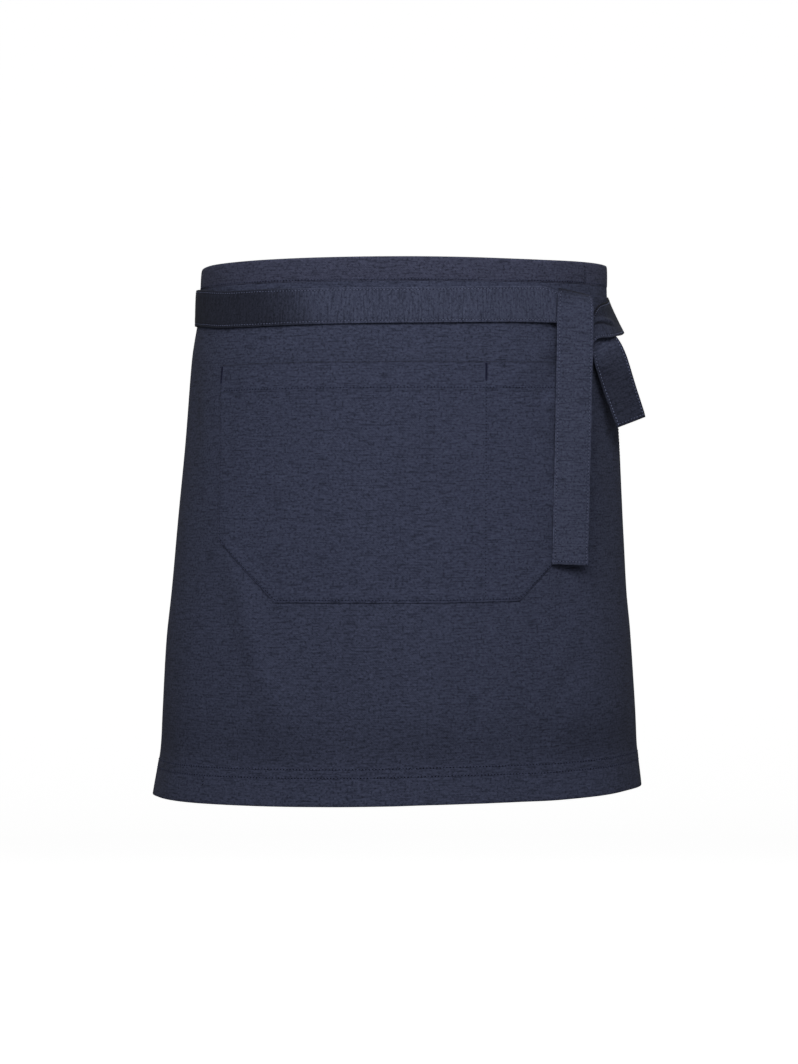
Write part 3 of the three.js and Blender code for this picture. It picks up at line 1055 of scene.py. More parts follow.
@dataclass
class Waistband:
    """The doubled waistband: a folded strip whose outer layer laps over the panel and is edge stitched."""

    form: WornForm
    cloth: bpy.types.Material
    thread: bpy.types.Material
    rolled: float = 0.5
    row_inset: float = 1.3
    end_corner: float = 0.9
    end_tack_angles: tuple[float, float] = (-93.2, 59.8)
    # The upper edge is worn low in a bell round one angle, and towards the left end.
    worn_angle: float = 38.0
    worn_width: float = 20.0
    worn_depth: float = 0.8
    worn_end: tuple[float, float] = (-68.0, -90.0)
    worn_end_depth: float = 1.3
    columns: int = 230
    rows: int = 34
    rim: float = 0.4
    # The section: shares of the way down the outer face, with that face's out in mm. Then such shares
    # with the inner face's out and its own share of the way down.
    outer_section: tuple[tuple[float, float], ...] = (
        (0.0, 0.25), (0.12, 0.62), (0.45, 0.74), (0.82, 0.64), (0.93, 0.50), (0.97, 0.36), (1.0, 0.22))
    inner_section: tuple[tuple[float, float, float], ...] = (
        (0.0, -1.2, 0.0), (0.15, -1.8, 0.142), (0.80, -1.8, 0.943), (0.90, 0.08, 0.948), (1.0, 0.08, 1.0))
    # Where the band ends, in degrees, for its flat size.
    ends: tuple[float, float] = (-95.0, 82.0)
    stitch: Stitch = Stitch()
    tack_stitch: Stitch = Stitch(length=1.7, hole=(1.7, 1.5))

    def profile(self, share: Array) -> tuple[Array, Array, Array]:
        """The band's section, by share of the way down its outer face.

        The outer face swells a little between its rolled upper edge and the sewn row. The inner face ends
        higher, above the panel, and the lip below it lies on the panel.

        Args:
            share: from 0 at the upper edge to 1 at the lower.

        Returns:
            The outer face's out, the inner face's out, and the inner face's share of the way down.
        """
        places, outs = np.array(self.outer_section).T
        inner_places, inner_outs, inner_shares = np.array(self.inner_section).T
        return (smooth_curve(places, outs, share), np.interp(share, inner_places, inner_outs),
                np.interp(share, inner_places, inner_shares))

    def drop(self, share: Array, angle: Array) -> Array:
        """The drop at a share of the way from the rolled edge, worn low in two places, to the seam."""
        upper = self.rolled + self.worn_depth * bell(angle - self.worn_angle, self.worn_width)
        upper = upper + self.worn_end_depth * ease(*self.worn_end, angle)
        return upper + (self.form.seam(angle) - upper) * share

    def angle(self, along: Array, drop: Array) -> Array:
        """The angle at a share along the band, with the right end's upper corner cut to an ellipse.

        Args:
            along: from 0 at the band's left end to 1 at its right one.
            drop: mm below the waistband's upper edge.

        Returns:
            Degrees from the centre front.
        """
        left = -self.form.level("left_end", np.zeros_like(drop))
        near = np.clip(1.0 - drop / self.end_corner, 0.0, 1.0)
        cut = self.end_corner * (1.0 - np.sqrt(1.0 - near ** 2)) / self.form.arc_per_degree * 1.4
        right = self.form.level("right_end", drop) - cut
        return left + (right - left) * along

    def uneven(self, angle: Array, drop: Array) -> Array:
        """Slight puckers along the sewn row and slow waves along the fold, as sines along the band.

        Args:
            angle: degrees from the centre front.
            drop: mm below the waistband's upper edge.

        Returns:
            The extra out, in mm.
        """
        arc = self.form.arc(angle, drop)
        row = self.form.seam(angle) - self.row_inset
        pucker = 0.06 * np.sin(2.0 * np.pi * arc / 9.5 + 1.8 * np.sin(arc / 31.0)) * bell(drop - row, 3.5)
        return pucker + 0.16 * np.sin(arc / 19.0 + 0.8) + 0.08 * np.sin(arc / 7.3)

    def shell(self) -> Shell:
        """The band as a closed wall: its section carried round the waist.

        Its tone is paler along the upper fold and over the tie's end caught inside it, with a dark line where
        that end is sewn down.

        Returns:
            The band's shell.
        """
        along, share = np.meshgrid(np.linspace(0.0, 1.0, self.columns), np.linspace(0.0, 1.0, self.rows))
        outer_out, inner_out, inner_share = self.profile(share)
        angle = self.angle(along, self.drop(share, 0.0))
        outer_drop = self.drop(share, angle)
        inner_drop = self.drop(inner_share, angle)
        uneven = self.uneven(angle, outer_drop) * (1.0 - 0.8 * ease(0.85, 1.0, share))
        outer = self.form.point(angle, outer_drop, outer_out + uneven)
        inner = self.form.point(angle, inner_drop, inner_out + uneven * (1.0 - ease(0.75, 0.85, share)))
        flat = np.stack([self.form.arc(angle, outer_drop), outer_drop], axis=-1)
        tack = angle - self.end_tack_angles[1]
        tone = 1.0 + 0.10 * bell(20.0 * share, 1.4)
        tone = tone + 0.08 * ease(0.0, 1.2, tack) - 0.26 * bell(tack + 0.3, 0.6)
        return wall(outer, inner, flat, tone, self.rim)

    def sewn(self, angle: Array, drop: Array, stitch: Stitch) -> Shell:
        """A row of stitches on the outer face.

        Args:
            angle: the row's angles, in degrees from the centre front.
            drop: its drops, in mm.
            stitch: the stitch's sizes.

        Returns:
            The row's shell.
        """
        share = (drop - self.rolled) / (self.form.seam(angle) - self.rolled)
        points = self.form.point(angle, drop, self.profile(share)[0] + self.uneven(angle, drop) - 0.05)
        return stitch.row(points, self.form.axes(angle, drop)[2])

    def threads(self) -> Shell:
        """The row along the lower edge, and a short row down each end where a tie is caught in.

        Returns:
            The threads' shell.
        """
        along = np.linspace(0.004, 0.996, 700)
        angle = self.angle(along, np.full_like(along, self.form.band_height))
        rows = [self.sewn(angle, self.form.seam(angle) - self.row_inset, self.stitch)]
        for end in self.end_tack_angles:
            drop = np.linspace(2.0, float(self.form.seam(end)) - self.row_inset, 60)
            rows.append(self.sewn(np.full_like(drop, end), drop, self.tack_stitch))
        return joined(rows)

    def build(self) -> list[bpy.types.Object]:
        """Returns:
            The two objects.
        """
        band = make_piece("waistband_cloth", self.shell(), self.cloth)
        threads = make_piece("waistband_stitching", self.threads(), self.thread)
        length = float(np.diff(self.form.arc(np.array(self.ends), 0.0))[0])
        Declared("waistband", "band_chambray", (length, self.form.band_height), Hold.FOLDED,
                 ("skirt_panel",)).tell(band, threads)
        return [band, threads]


@dataclass
class Pocket:
    """The wide patch pocket: cut-off lower corners, a doubled mouth hem, and a sewn line that parts it."""

    panel: SkirtPanel
    cloth: bpy.types.Material
    thread: bpy.types.Material
    tack_thread: bpy.types.Material
    drops: tuple[float, float, float] = (88.2, 235.5, 288.6)
    left: tuple[float, float, float] = (-154.7, -156.7, -108.0)
    right: tuple[float, float, float] = (145.0, 147.0, 97.1)
    hem: float = 23.2
    hem_row: float = 21.4
    edge_row: float = 1.1
    divider_top: float = 68.8
    divider_foot: float = 67.8
    tack_length: float = 13.6
    tack_span: float = 2.6
    single: float = 0.7
    doubled: float = 1.05
    gape: float = 1.7
    seat: float = 0.16
    turned: float = 8.5
    # How far from a seam the outer layer comes free, how deep the mouth's gape reaches, and two soft creases.
    free_reach: tuple[float, float] = (2.0, 34.0)
    mouth_reach: float = 120.0
    crease_depths: tuple[float, float] = (97.0, 133.0)
    rim: float = 0.5
    step: float = 1.9
    fine: float = 0.8
    # The pocket's cloth is another stretch of the same weave as the panel's.
    cloth_shift: float = 400.0
    # How far below the mouth a bar tack starts, in mm, and how far in from the mouth's ends it lies, in
    # degrees, at its top and at its foot.
    tack_drop: float = 1.2
    tack_insets: tuple[float, float] = (0.8, 0.35)
    stitch: Stitch = Stitch()

    @property
    def form(self) -> WornForm:
        """The worn form, which the pocket shares with the panel."""
        return self.panel.form

    def side(self, name: str, drop: Array) -> Array:
        """The angle of the left or right edge at a drop: straight lines between the outline's corners."""
        sideways = np.interp(drop, self.drops, getattr(self, name))
        return self.form.angle_at(sideways, drop)

    def corners(self) -> Array:
        """The outline's corners on the flat cloth, in order round it from the mouth's left end.

        Returns:
            The corners' ways along the level and drops (6, 2), in mm.
        """
        places = [("left", 0), ("right", 0), ("right", 1), ("right", 2), ("left", 2), ("left", 1)]
        drops = np.array([self.drops[i] for _, i in places])
        angles = np.array([float(self.side(name, np.array(self.drops[i]))) for name, i in places])
        return np.stack([self.form.arc(angles, drops), drops], axis=-1)

    def divider(self, drop: Array) -> Array:
        """The angle of the sewn line that parts the pocket: a straight line from the mouth to the foot.

        Args:
            drop: mm below the waistband's upper edge.

        Returns:
            Degrees from the centre front.
        """
        share = (drop - self.drops[0]) / (self.drops[2] - self.drops[0])
        sideways = self.divider_top + (self.divider_foot - self.divider_top) * share
        return self.form.angle_at(sideways, drop)

    def lift(self, angle: Array, drop: Array) -> tuple[Array, Array, Array]:
        """How far out the pocket lies on the panel, how thick it is, and its tone.

        The outer layer is held down in bells along the edge row, the mouth hem's row and the divider. Away
        from them it stands off a little, most at the mouth, and the turned edges make it thicker.

        Args:
            angle: degrees from the centre front.
            drop: mm below the waistband's upper edge.

        Returns:
            The inner face's out and the thickness, in mm, and the tone.
        """
        arc = self.form.arc(angle, drop)
        distances = line_distances(self.corners(), np.stack([arc, drop], axis=-1))
        edge = np.maximum(distances[..., 1:].min(axis=-1), 0.0)
        depth = np.maximum(distances[..., 0], 0.0)
        divider = np.abs(arc - self.form.arc(self.divider(drop), drop))
        free = ease(*self.free_reach, np.minimum(edge, divider))
        mouth = 1.0 - ease(0.0, self.mouth_reach, depth)
        stand = self.gape * free * (0.25 + 0.75 * mouth)
        upper, lower = self.crease_depths
        crease = 0.30 * bell(depth - upper, 2.6) - 0.24 * bell(depth - lower, 3.0)
        crease = crease * ease(6.0, 30.0, edge) * ease(-150.0, -110.0, arc) * (1.0 - ease(-40.0, 20.0, arc))
        turned = np.maximum(1.0 - ease(self.turned - 1.0, self.turned + 1.0, edge),
                            1.0 - ease(self.hem - 0.5, self.hem + 1.2, depth))
        thickness = self.single + (self.doubled - self.single) * turned
        seam = np.maximum(bell(edge - self.edge_row, 1.1), bell(divider, 1.2))
        seam = np.maximum(seam, 0.8 * bell(depth - self.hem_row, 1.2))
        thickness = thickness - 0.16 * seam - 0.42 * bell(edge, 0.9)
        pucker = 0.12 * np.sin(2.0 * np.pi * arc / 10.5 + 1.3 * np.sin(arc / 17.0))
        pucker = pucker * bell(depth - self.hem_row, 5.0) + 0.10 * np.sin(drop / 1.9) * bell(divider, 4.0)
        out = self.panel.outer_lift(angle, drop) + self.seat + stand + crease + np.abs(pucker)
        # Paler along the edge, as wear and as a painted highlight between the stitches; darkened at the mouth
        # with painted shade for the crack under its fold.
        tone = 1.0 + 0.30 * bell(edge - 0.8, 0.9) - 0.40 * bell(depth, 0.9)
        return out, thickness, tone

    def shell(self) -> Shell:
        """The pocket as a closed wall on a grid of shares of its width and drops.

        Returns:
            The pocket's shell.
        """
        width = self.right[0] - self.left[0]
        divider = (self.divider_top - self.left[0]) / width
        shares = graded(0.0, 1.0, self.step / width, self.fine / width,
                        (self.edge_row / width, divider, 1.0 - self.edge_row / width))
        drops = graded(self.drops[0], self.drops[2], self.step, self.fine,
                       (self.drops[0] + self.hem_row, self.drops[0] + self.hem, self.drops[1],
                        self.drops[2] - self.edge_row))
        share, drop = np.meshgrid(shares, drops)
        left, right = self.side("left", drop), self.side("right", drop)
        angle = left + (right - left) * share
        out, thickness, tone = self.lift(angle, drop)
        flat = np.stack([self.form.arc(angle, drop) + self.cloth_shift, drop], axis=-1)
        outer = self.form.point(angle, drop, out + thickness)
        inner = self.form.point(angle, drop, out)
        return wall(outer, inner, flat, tone, self.rim)

    def on_face(self, angle: Array, drop: Array) -> tuple[Array, Array]:
        """Points of the outer face, and the directions out of it."""
        out, thickness, _ = self.lift(angle, drop)
        return self.form.point(angle, drop, out + thickness), self.form.axes(angle, drop)[2]

    def edge_line(self) -> tuple[Array, Array]:
        """The edge row: the outline from the mouth's left end round to its right one, moved inwards.

        Returns:
            The row's angles and drops.
        """
        corners = self.corners()
        normals = np.stack([-np.diff(corners[:, 1], append=corners[0, 1]),
                            np.diff(corners[:, 0], append=corners[0, 0])], axis=-1)
        normals = unit(normals)
        inset = corners + self.edge_row * (normals + np.roll(normals, 1, axis=0))
        path = inset[[0, 5, 4, 3, 2, 1]]
        path[0, 1], path[-1, 1] = corners[0, 1] + 1.0, corners[1, 1] + 1.0
        places = ways(path)
        at = np.linspace(0.0, places[-1], 1200)
        arc, drop = (np.interp(at, places, path[:, k]) for k in (0, 1))
        return self.angle_of_arc(arc, drop), drop

    def angle_of_arc(self, arc: Array, drop: Array) -> Array:
        """The angle at a way along the level: Newton's steps on the arc, from a round guess.

        Args:
            arc: the way from the centre front, in mm.
            drop: mm below the waistband's upper edge.

        Returns:
            Degrees from the centre front.
        """
        angle = arc / self.form.arc_per_degree
        for _ in range(6):
            slope = self.form.arc(angle + 0.5, drop) - self.form.arc(angle - 0.5, drop)
            angle = angle - (self.form.arc(angle, drop) - arc) / slope
        return angle

    def threads(self) -> Shell:
        """The edge row, the mouth hem's row and the divider's row.

        Returns:
            The threads' shell.
        """
        share = np.linspace(0.012, 0.988, 800)
        level = np.full_like(share, self.drops[0] + self.hem_row)
        left, right = self.side("left", level), self.side("right", level)
        down = np.linspace(self.drops[0] + self.tack_length, self.drops[2] - self.edge_row, 400)
        lines = [self.edge_line(), (left + (right - left) * share, level), (self.divider(down), down)]
        return joined([self.stitch.row(*self.on_face(angle, drop)) for angle, drop in lines])

    def tacks(self) -> Shell:
        """A bar tack at each end of the mouth and at the divider's upper end.

        Returns:
            The tacks' shell.
        """
        drop = self.drops[0] + np.array([self.tack_drop, self.tack_drop + self.tack_length])
        inset = np.array(self.tack_insets)
        places = [self.side("left", drop) + inset, self.divider(drop), self.side("right", drop) - inset]
        return joined([self.stitch.bar(*self.on_face(angle, drop), self.tack_span) for angle in places])

    def build(self) -> list[bpy.types.Object]:
        """Returns:
            The three objects.
        """
        pocket = make_piece("pocket_cloth", self.shell(), self.cloth)
        threads = make_piece("pocket_stitching", self.threads(), self.thread)
        tacks = make_piece("pocket_bar_tacks", self.tacks(), self.tack_thread)
        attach(tacks, BODY)
        corners = self.corners()
        ahead = np.roll(corners, -1, axis=0)
        area = 0.5 * abs(float((corners[:, 0] * ahead[:, 1] - ahead[:, 0] * corners[:, 1]).sum()))
        size = corners.max(axis=0) - corners.min(axis=0)
        Declared("pocket", "pocket_chambray", (float(size[0]), float(size[1])), Hold.LAID, ("skirt_panel",),
                 area).tell(pocket, threads)
        return [pocket, threads, tacks]


@dataclass(frozen=True)
class Stop:
    """A place on a tie's route: where its middle lies, its width, its turn and lean, and its tone.

    Angles are in degrees and sizes in mm. The tone is painted shade and light: the ties are cut with the weft
    across them, and are darkened where they face away from the light, sooner than the panel; the knot's loop,
    folds and ends are darkened for their shade, and lightened where the shade falls too deep.
    """

    angle: float
    drop: float
    out: float
    width: float = TIE_WIDTH
    spin: float = 0.0
    tilt: float = 0.0
    tone: float = 1.0


@dataclass(frozen=True)
class Ribbon:
    """A strip laid along its route: at each station its middle, directions, angle, way, width and tone."""

    middle: Array
    across: Array
    face: Array
    angle: Array
    way: Array
    width: Array
    tone: Array


@dataclass
class Tie:
    """A tie: a doubled strip, edge stitched, carried along its route round the waist and into the knot."""

    form: WornForm
    cloth: bpy.types.Material
    thread: bpy.types.Material
    node: str
    route: tuple[Stop, ...]
    hidden_start: float = 12.0
    step: float = 2.2
    thickness: float = 1.25
    edge_row: float = 1.7
    end_hem: float = 8.0
    end_row: float = 2.4
    bow: float = 0.35
    rim: float = 0.55
    share_step: float = 0.10
    share_fine: float = 0.045
    fine_shares: tuple[float, ...] = (-0.89, 0.89)
    stitch: Stitch = Stitch(rise=0.15, hole=(0.8, 1.1))
    # The loose end past the knot, and its edge stitches.
    loose_length: float = 230.0
    loose_stitch: Stitch = Stitch(rise=0.15, hole=(0.8, 1.1))

    def ribbon(self) -> Ribbon:
        """Lays the strip out along its route.

        The ways between the stops in a straight line are added up and cut into even steps, and every column
        of the route is read there. Across is the cloth's up, turned by the spin in the plane of the cloth
        and leant out by the tilt. The face is the travel crossed with it.

        Returns:
            The strip's stations.
        """
        names = ("angle", "drop", "out", "width", "spin", "tilt", "tone")
        table = {name: column(self.route, name) for name in names}
        marks = self.form.point(table["angle"], table["drop"], table["out"])
        stops = ways(marks)
        at = np.linspace(0.0, stops[-1], int(stops[-1] / self.step) + 1)
        read = {name: smooth_curve(stops, values, at) for name, values in table.items()}
        along, up, outward = self.form.axes(read["angle"], read["drop"])
        spin, tilt = np.radians(read["spin"])[:, None], np.radians(read["tilt"])[:, None]
        across = up * np.cos(spin) - along * np.sin(spin)
        across = unit(across * np.cos(tilt) + outward * np.sin(tilt))
        middle = self.form.point(read["angle"], read["drop"], read["out"])
        way = ways(middle)
        face = unit(np.cross(np.gradient(middle, axis=0), across))
        return Ribbon(middle, across, face, read["angle"], way, read["width"], read["tone"])

    def section(self, ribbon: Ribbon, aside: Array) -> tuple[Array, Array]:
        """How far the strip's middle sheet bows out of its face, and half its thickness there.

        The bow is a parabola across the strip with slow waves along its edges. The sheet is pulled thin in
        bells along the sewn rows, and thicker over the turned edges and the end hem.

        Args:
            ribbon: the strip's n stations.
            aside: shares of the half width, from -1 to 1 (n or 1, m).

        Returns:
            The bow and the half thickness (n, m), in mm.
        """
        way = ribbon.way[:, None]
        total = ribbon.way[-1]
        edge = (1.0 - np.abs(aside)) * ribbon.width[:, None] / 2.0
        waves = 0.16 * np.sin(way / 11.0 + 1.1 * aside) + 0.10 * np.sin(way / 4.7 + 2.3 * aside)
        bow = self.bow * (1.0 - aside ** 2) + waves * aside ** 2
        hem = ease(total - self.end_hem - 0.8, total - self.end_hem + 0.8, way)
        row = np.maximum(bell(edge - self.edge_row, 0.9), bell(total - self.end_row - way, 1.0))
        half = 0.5 * self.thickness * (1.0 + 0.14 * (1.0 - ease(6.0, 8.0, edge)) + 0.25 * hem - 0.34 * row)
        return bow, half

    def sheet(self, ribbon: Ribbon, aside: Array) -> tuple[Array, Array]:
        """The strip's middle sheet: its stations' middles moved across, and out along the face by the bow.

        Args:
            ribbon: the strip's n stations.
            aside: shares of the half width, from -1 to 1 (n or 1, m).

        Returns:
            The sheet's points, and the ways from them to the face (n, m, 3), in mm.
        """
        bow, half = self.section(ribbon, aside)
        reach = aside * (ribbon.width[:, None] / 2.0 - self.rim)
        face = ribbon.face[:, None, :]
        line = ribbon.middle[:, None, :] + ribbon.across[:, None, :] * reach[..., None]
        return line + face * bow[..., None], face * half[..., None]

    def shade(self, ribbon: Ribbon, aside: Array) -> Array:
        """The tone across each station: the route's painted shade, paler on the worn edges, and darker along
        a row with painted shade for its groove.
        """
        edge = (1.0 - np.abs(aside)) * ribbon.width[:, None] / 2.0
        return ribbon.tone[:, None] * (1.0 + 0.10 * bell(edge, 0.9) - 0.10 * bell(edge - self.edge_row, 0.8))

    def shell(self) -> Shell:
        """The strip as a closed wall on a grid of ways along and shares across.

        Returns:
            The strip's shell.
        """
        ribbon = self.ribbon()
        share = graded(-1.0, 1.0, self.share_step, self.share_fine, self.fine_shares)[None, :]
        middle, offset = self.sheet(ribbon, share)
        aside = share * ribbon.width[:, None] / 2.0
        flat = np.stack(np.broadcast_arrays(aside, ribbon.way[:, None]), axis=-1)
        return wall(middle + offset, middle - offset, flat, self.shade(ribbon, share), self.rim)

    def threads(self) -> Shell:
        """Edge rows on both faces, with the loose end's own stitches, and the row across that end.

        Returns:
            The threads' shell.
        """
        ribbon = self.ribbon()
        loose = ribbon.way > ribbon.way[-1] - self.loose_length
        shown = (ribbon.way > self.hidden_start) & ~loose
        inset = (1.0 - 2.0 * self.edge_row / ribbon.width)[:, None]
        middle, offset = self.sheet(ribbon, np.concatenate([-inset, inset], axis=1))
        lines = [(middle[part, k], offset[part, k], stitch)
                 for part, stitch in ((shown, self.stitch), (loose, self.loose_stitch)) for k in (0, 1)]
        end = int(np.searchsorted(ribbon.way, ribbon.way[-1] - self.end_row))
        middle, offset = self.sheet(ribbon, np.linspace(-0.82, 0.82, 40)[None, :])
        lines.append((middle[end], offset[end], self.stitch))
        return joined([stitch.row(line + turn * lift, turn * unit(lift))
                       for line, lift, stitch in lines for turn in (-1.0, 1.0)])

    def build(self) -> list[bpy.types.Object]:
        """Returns:
            The two objects.
        """
        tie = make_piece(f"{self.node}_cloth", self.shell(), self.cloth)
        threads = make_piece(f"{self.node}_stitching", self.threads(), self.thread)
        ribbon = self.ribbon()
        area = float(((ribbon.width[1:] + ribbon.width[:-1]) / 2.0 * np.diff(ribbon.way)).sum())
        Declared(self.node, "tie_chambray", (TIE_WIDTH, float(ribbon.way[-1])), Hold.DRAPED, ("waistband",),
                 area).tell(tie, threads)
        return [tie, threads]


@dataclass
class RightTie(Tie):
    """The tie from the waistband's right end, round the back and across the front to the short end."""

    node: str = "tie_right"
    shade_slant: float = 8.0
    # The short end's cloth is darkened with painted shade, and its thread is lightened with painted light, so
    # that it shows lighter than the cloth.
    loose_length: float = 80.0
    loose_stitch: Stitch = Stitch(rise=0.15, width=0.75, tone=1.5, hole=(0.8, 1.1))
    # The tones in the route are painted shade and light.
    route: tuple[Stop, ...] = (
        Stop(73, 9.7, -3.0, 18),
        Stop(83, 9.8, -3.0, 18),
        Stop(96, 11.5, -1.4, 21),
        Stop(108, 12.5, 1.2, 22),
        Stop(122, 15, 1.6, 26),
        Stop(150, 20, 1.6),
        Stop(180, 25, 1.6),
        Stop(225, 31, 1.6, tilt=1, tone=0.9),
        Stop(258, 33.6, 3.1, tilt=5, tone=0.5),
        Stop(278, 35.2, 3.1, 31.8, tilt=5, tone=0.4),
        Stop(305, 40.6, 1.4, 32, tone=0.38),
        Stop(316, 41.0, 1.3, 32, tone=0.4),
        Stop(323, 41.1, 1.25, 31.6, tone=0.52),
        Stop(329, 41.2, 1.2, tone=0.72),
        Stop(335, 41.2, 1.2, 30.6),
        Stop(360, 41.1, 1.2, 30),
        Stop(390, 39.4, 1.3, 30.6),
        Stop(400, 39.0, 1.9),
        Stop(404, 40.4, 3.5, 28.6),
        Stop(407, 43.0, 3.8, 25.8, -5),
        Stop(410, 46.0, 3.8, 28, -14),
        Stop(414, 51.2, 3.9, 30, -28),
        Stop(418.5, 57.0, 3.9, spin=-45, tilt=1, tone=1.3),
        Stop(421.8, 63.5, 5.6, 32.5, -60, -2, 1.25),
        Stop(424.4, 73, 9.3, 31.6, -66, 18, 0.72),
        Stop(425.9, 88, 12.2, 31.4, -69, 33, 0.54),
        Stop(427.7, 104, 14.0, 30.9, -70, 36, 0.54),
        Stop(431.9, 138.7, 19.3, 30.9, -70, 35, 0.56),
    )

    def shade(self, ribbon: Ribbon, aside: Array) -> Array:
        """As for every tie, with the route's painted shade read further back towards the lower edge, so it
        slants.

        Args:
            ribbon: the strip's n stations.
            aside: shares of the half width, from -1 to 1 (n or 1, m).

        Returns:
            The tone (n, m).
        """
        back = self.shade_slant * (1.0 - aside)
        tone = np.interp(ribbon.way[:, None] - back, ribbon.way, ribbon.tone)
        return super().shade(ribbon, aside) * tone / ribbon.tone[:, None]


@dataclass
class LeftTie(Tie):
    """The tie from the waistband's left end, round the back and the other tie, down as the long end."""

    node: str = "tie_left"
    fine_shares: tuple[float, ...] = (-0.89, 0.0, 0.89)
    pleat_lip: float = 1.5
    pleat_pinch: float = 0.9
    # The pleat's line: its share across the strip at one angle, and how much that falls by the degree.
    pleat_share: float = 0.18
    pleat_angle: float = 59.7
    pleat_slope: float = 0.056
    # Degrees over which the strip is gathered and let out, and over which the loop's painted shade comes and
    # goes.
    gather_start: tuple[float, float] = (53.0, 59.0)
    gather_end: tuple[float, float] = (68.0, 73.0)
    loop_start: tuple[float, float] = (57.0, 61.0)
    loop_end: tuple[float, float] = (92.0, 104.0)
    # The loop ends before this last length of the strip.
    past_loop: float = 300.0
    # The tones in the route are painted shade and light.
    route: tuple[Stop, ...] = (
        Stop(283, 9.7, -3.0, 18),
        Stop(265, 9.9, -3.0, 18),
        Stop(248, 12.8, -1.6, 24),
        Stop(225, 18, -0.6),
        Stop(180, 28, -0.6),
        Stop(135, 37, -0.6),
        Stop(112, 41.4, -0.4, 32),
        Stop(101, 41.6, 1.0, 33.5, 0, -9, 0.7),
        Stop(91, 42.4, 4.0, 35, 0, -20, 0.6),
        Stop(84, 43.0, 5.3, 35, 0, -21, 0.6),
        Stop(76, 46.8, 7.6, 32.5, -1, -19, 0.62),
        Stop(66, 50.8, 9.4, 31, -2, -18, 0.7),
        Stop(60, 56.0, 9.0, 23, -4, -10, 0.8),
        Stop(55.5, 68.0, 8.9, 18, -16, -8),
        Stop(51.2, 76.4, 4.5, 15, -42),
        Stop(49.6, 68, 1.5, 14, -72),
        Stop(50.0, 52, 1.3, 17, -88),
        Stop(50.4, 41, 1.3, 20, -94),
        Stop(51.4, 31.4, 1.7, 25, -97, tone=0.4),
        Stop(51.4, 27.4, 5.8, 34, -97, -3, 0.15),
        Stop(51.0, 31.6, 9.0, 35, -96, 8, 0.82),
        Stop(50.3, 45.0, 10.2, 34, -93, 16, 1.02),
        Stop(49.4, 80, 8.8, 33.6, -92, 16, 1.02),
        Stop(47.6, 152, 6.6, 33.6, -92, 14, 1.03),
        Stop(45.4, 259.8, 4.5, 33.6, -94, 11, 1.06),
    )

    def gathered(self, ribbon: Ribbon) -> Array:
        """How far the strip is gathered into the knot at each station, from 0 to 1."""
        angle = ribbon.angle[:, None]
        return ease(*self.gather_start, angle) * (1.0 - ease(*self.gather_end, angle))

    def crossing(self, ribbon: Ribbon) -> Array:
        """The pleat's place across the strip at each station: a straight line that slants over it."""
        return self.pleat_share - self.pleat_slope * (ribbon.angle[:, None] - self.pleat_angle)

    def section(self, ribbon: Ribbon, aside: Array) -> tuple[Array, Array]:
        """As for every tie, with a pleat where the strip is gathered into the knot: a lip over a pinch.

        The pinch is a narrow bell across the strip on the pleat's line, and the lip a wider one beside it.

        Args:
            ribbon: the strip's n stations.
            aside: shares of the half width, from -1 to 1 (n or 1, m).

        Returns:
            The bow and the half thickness (n, m), in mm.
        """
        bow, half = super().section(ribbon, aside)
        beyond = aside - self.crossing(ribbon)
        lip = self.pleat_lip * bell(beyond - 0.22, 0.17) - self.pleat_pinch * bell(beyond, 0.07)
        return bow - self.gathered(ribbon) * lip, half

    def shade(self, ribbon: Ribbon, aside: Array) -> Array:
        """As for every tie, with painted shade in the loop above the pleat, in its pinch and along the upper
        edge, and a painted highlight on the pleat's lip.

        Args:
            ribbon: the strip's n stations.
            aside: shares of the half width, from -1 to 1 (n or 1, m).

        Returns:
            The tone (n, m).
        """
        looped = ease(*self.loop_start, ribbon.angle) * (1.0 - ease(*self.loop_end, ribbon.angle))
        looped = (looped * (ribbon.way < ribbon.way[-1] - self.past_loop))[:, None]
        beyond = aside - self.crossing(ribbon)
        pinch = self.gathered(ribbon) * bell(beyond, 0.06)
        dark = 0.34 * ease(0.25, 0.5, beyond) + 0.8 * pinch + 0.45 * ease(0.86, 0.95, aside)
        light = 0.2 * self.gathered(ribbon) * bell(beyond - 0.15, 0.06)
        return super().shade(ribbon, aside) * (1.0 + looped * (light - np.minimum(dark, 0.85)))


@dataclass(frozen=True)
class Softbox:
    """A soft studio light: where it stands and what it faces in metres, its size, and its power in watts."""

    name: str
    place: tuple[float, float, float]
    aim: tuple[float, float, float]
    size: tuple[float, float]
    power: float

    def build(self) -> None:
        """Makes the light, turned to face its aim."""
        light = bpy.data.lights.new(self.name, "AREA")
        light.shape = "RECTANGLE"
        light.size, light.size_y = self.size
        light.energy = self.power
        lamp = bpy.data.objects.new(self.name, light)
        lamp.location = self.place
        away = lamp.location - type(lamp.location)(self.aim)
        lamp.rotation_euler = away.to_track_quat("Z", "Y").to_euler()
        bpy.context.scene.collection.objects.link(lamp)


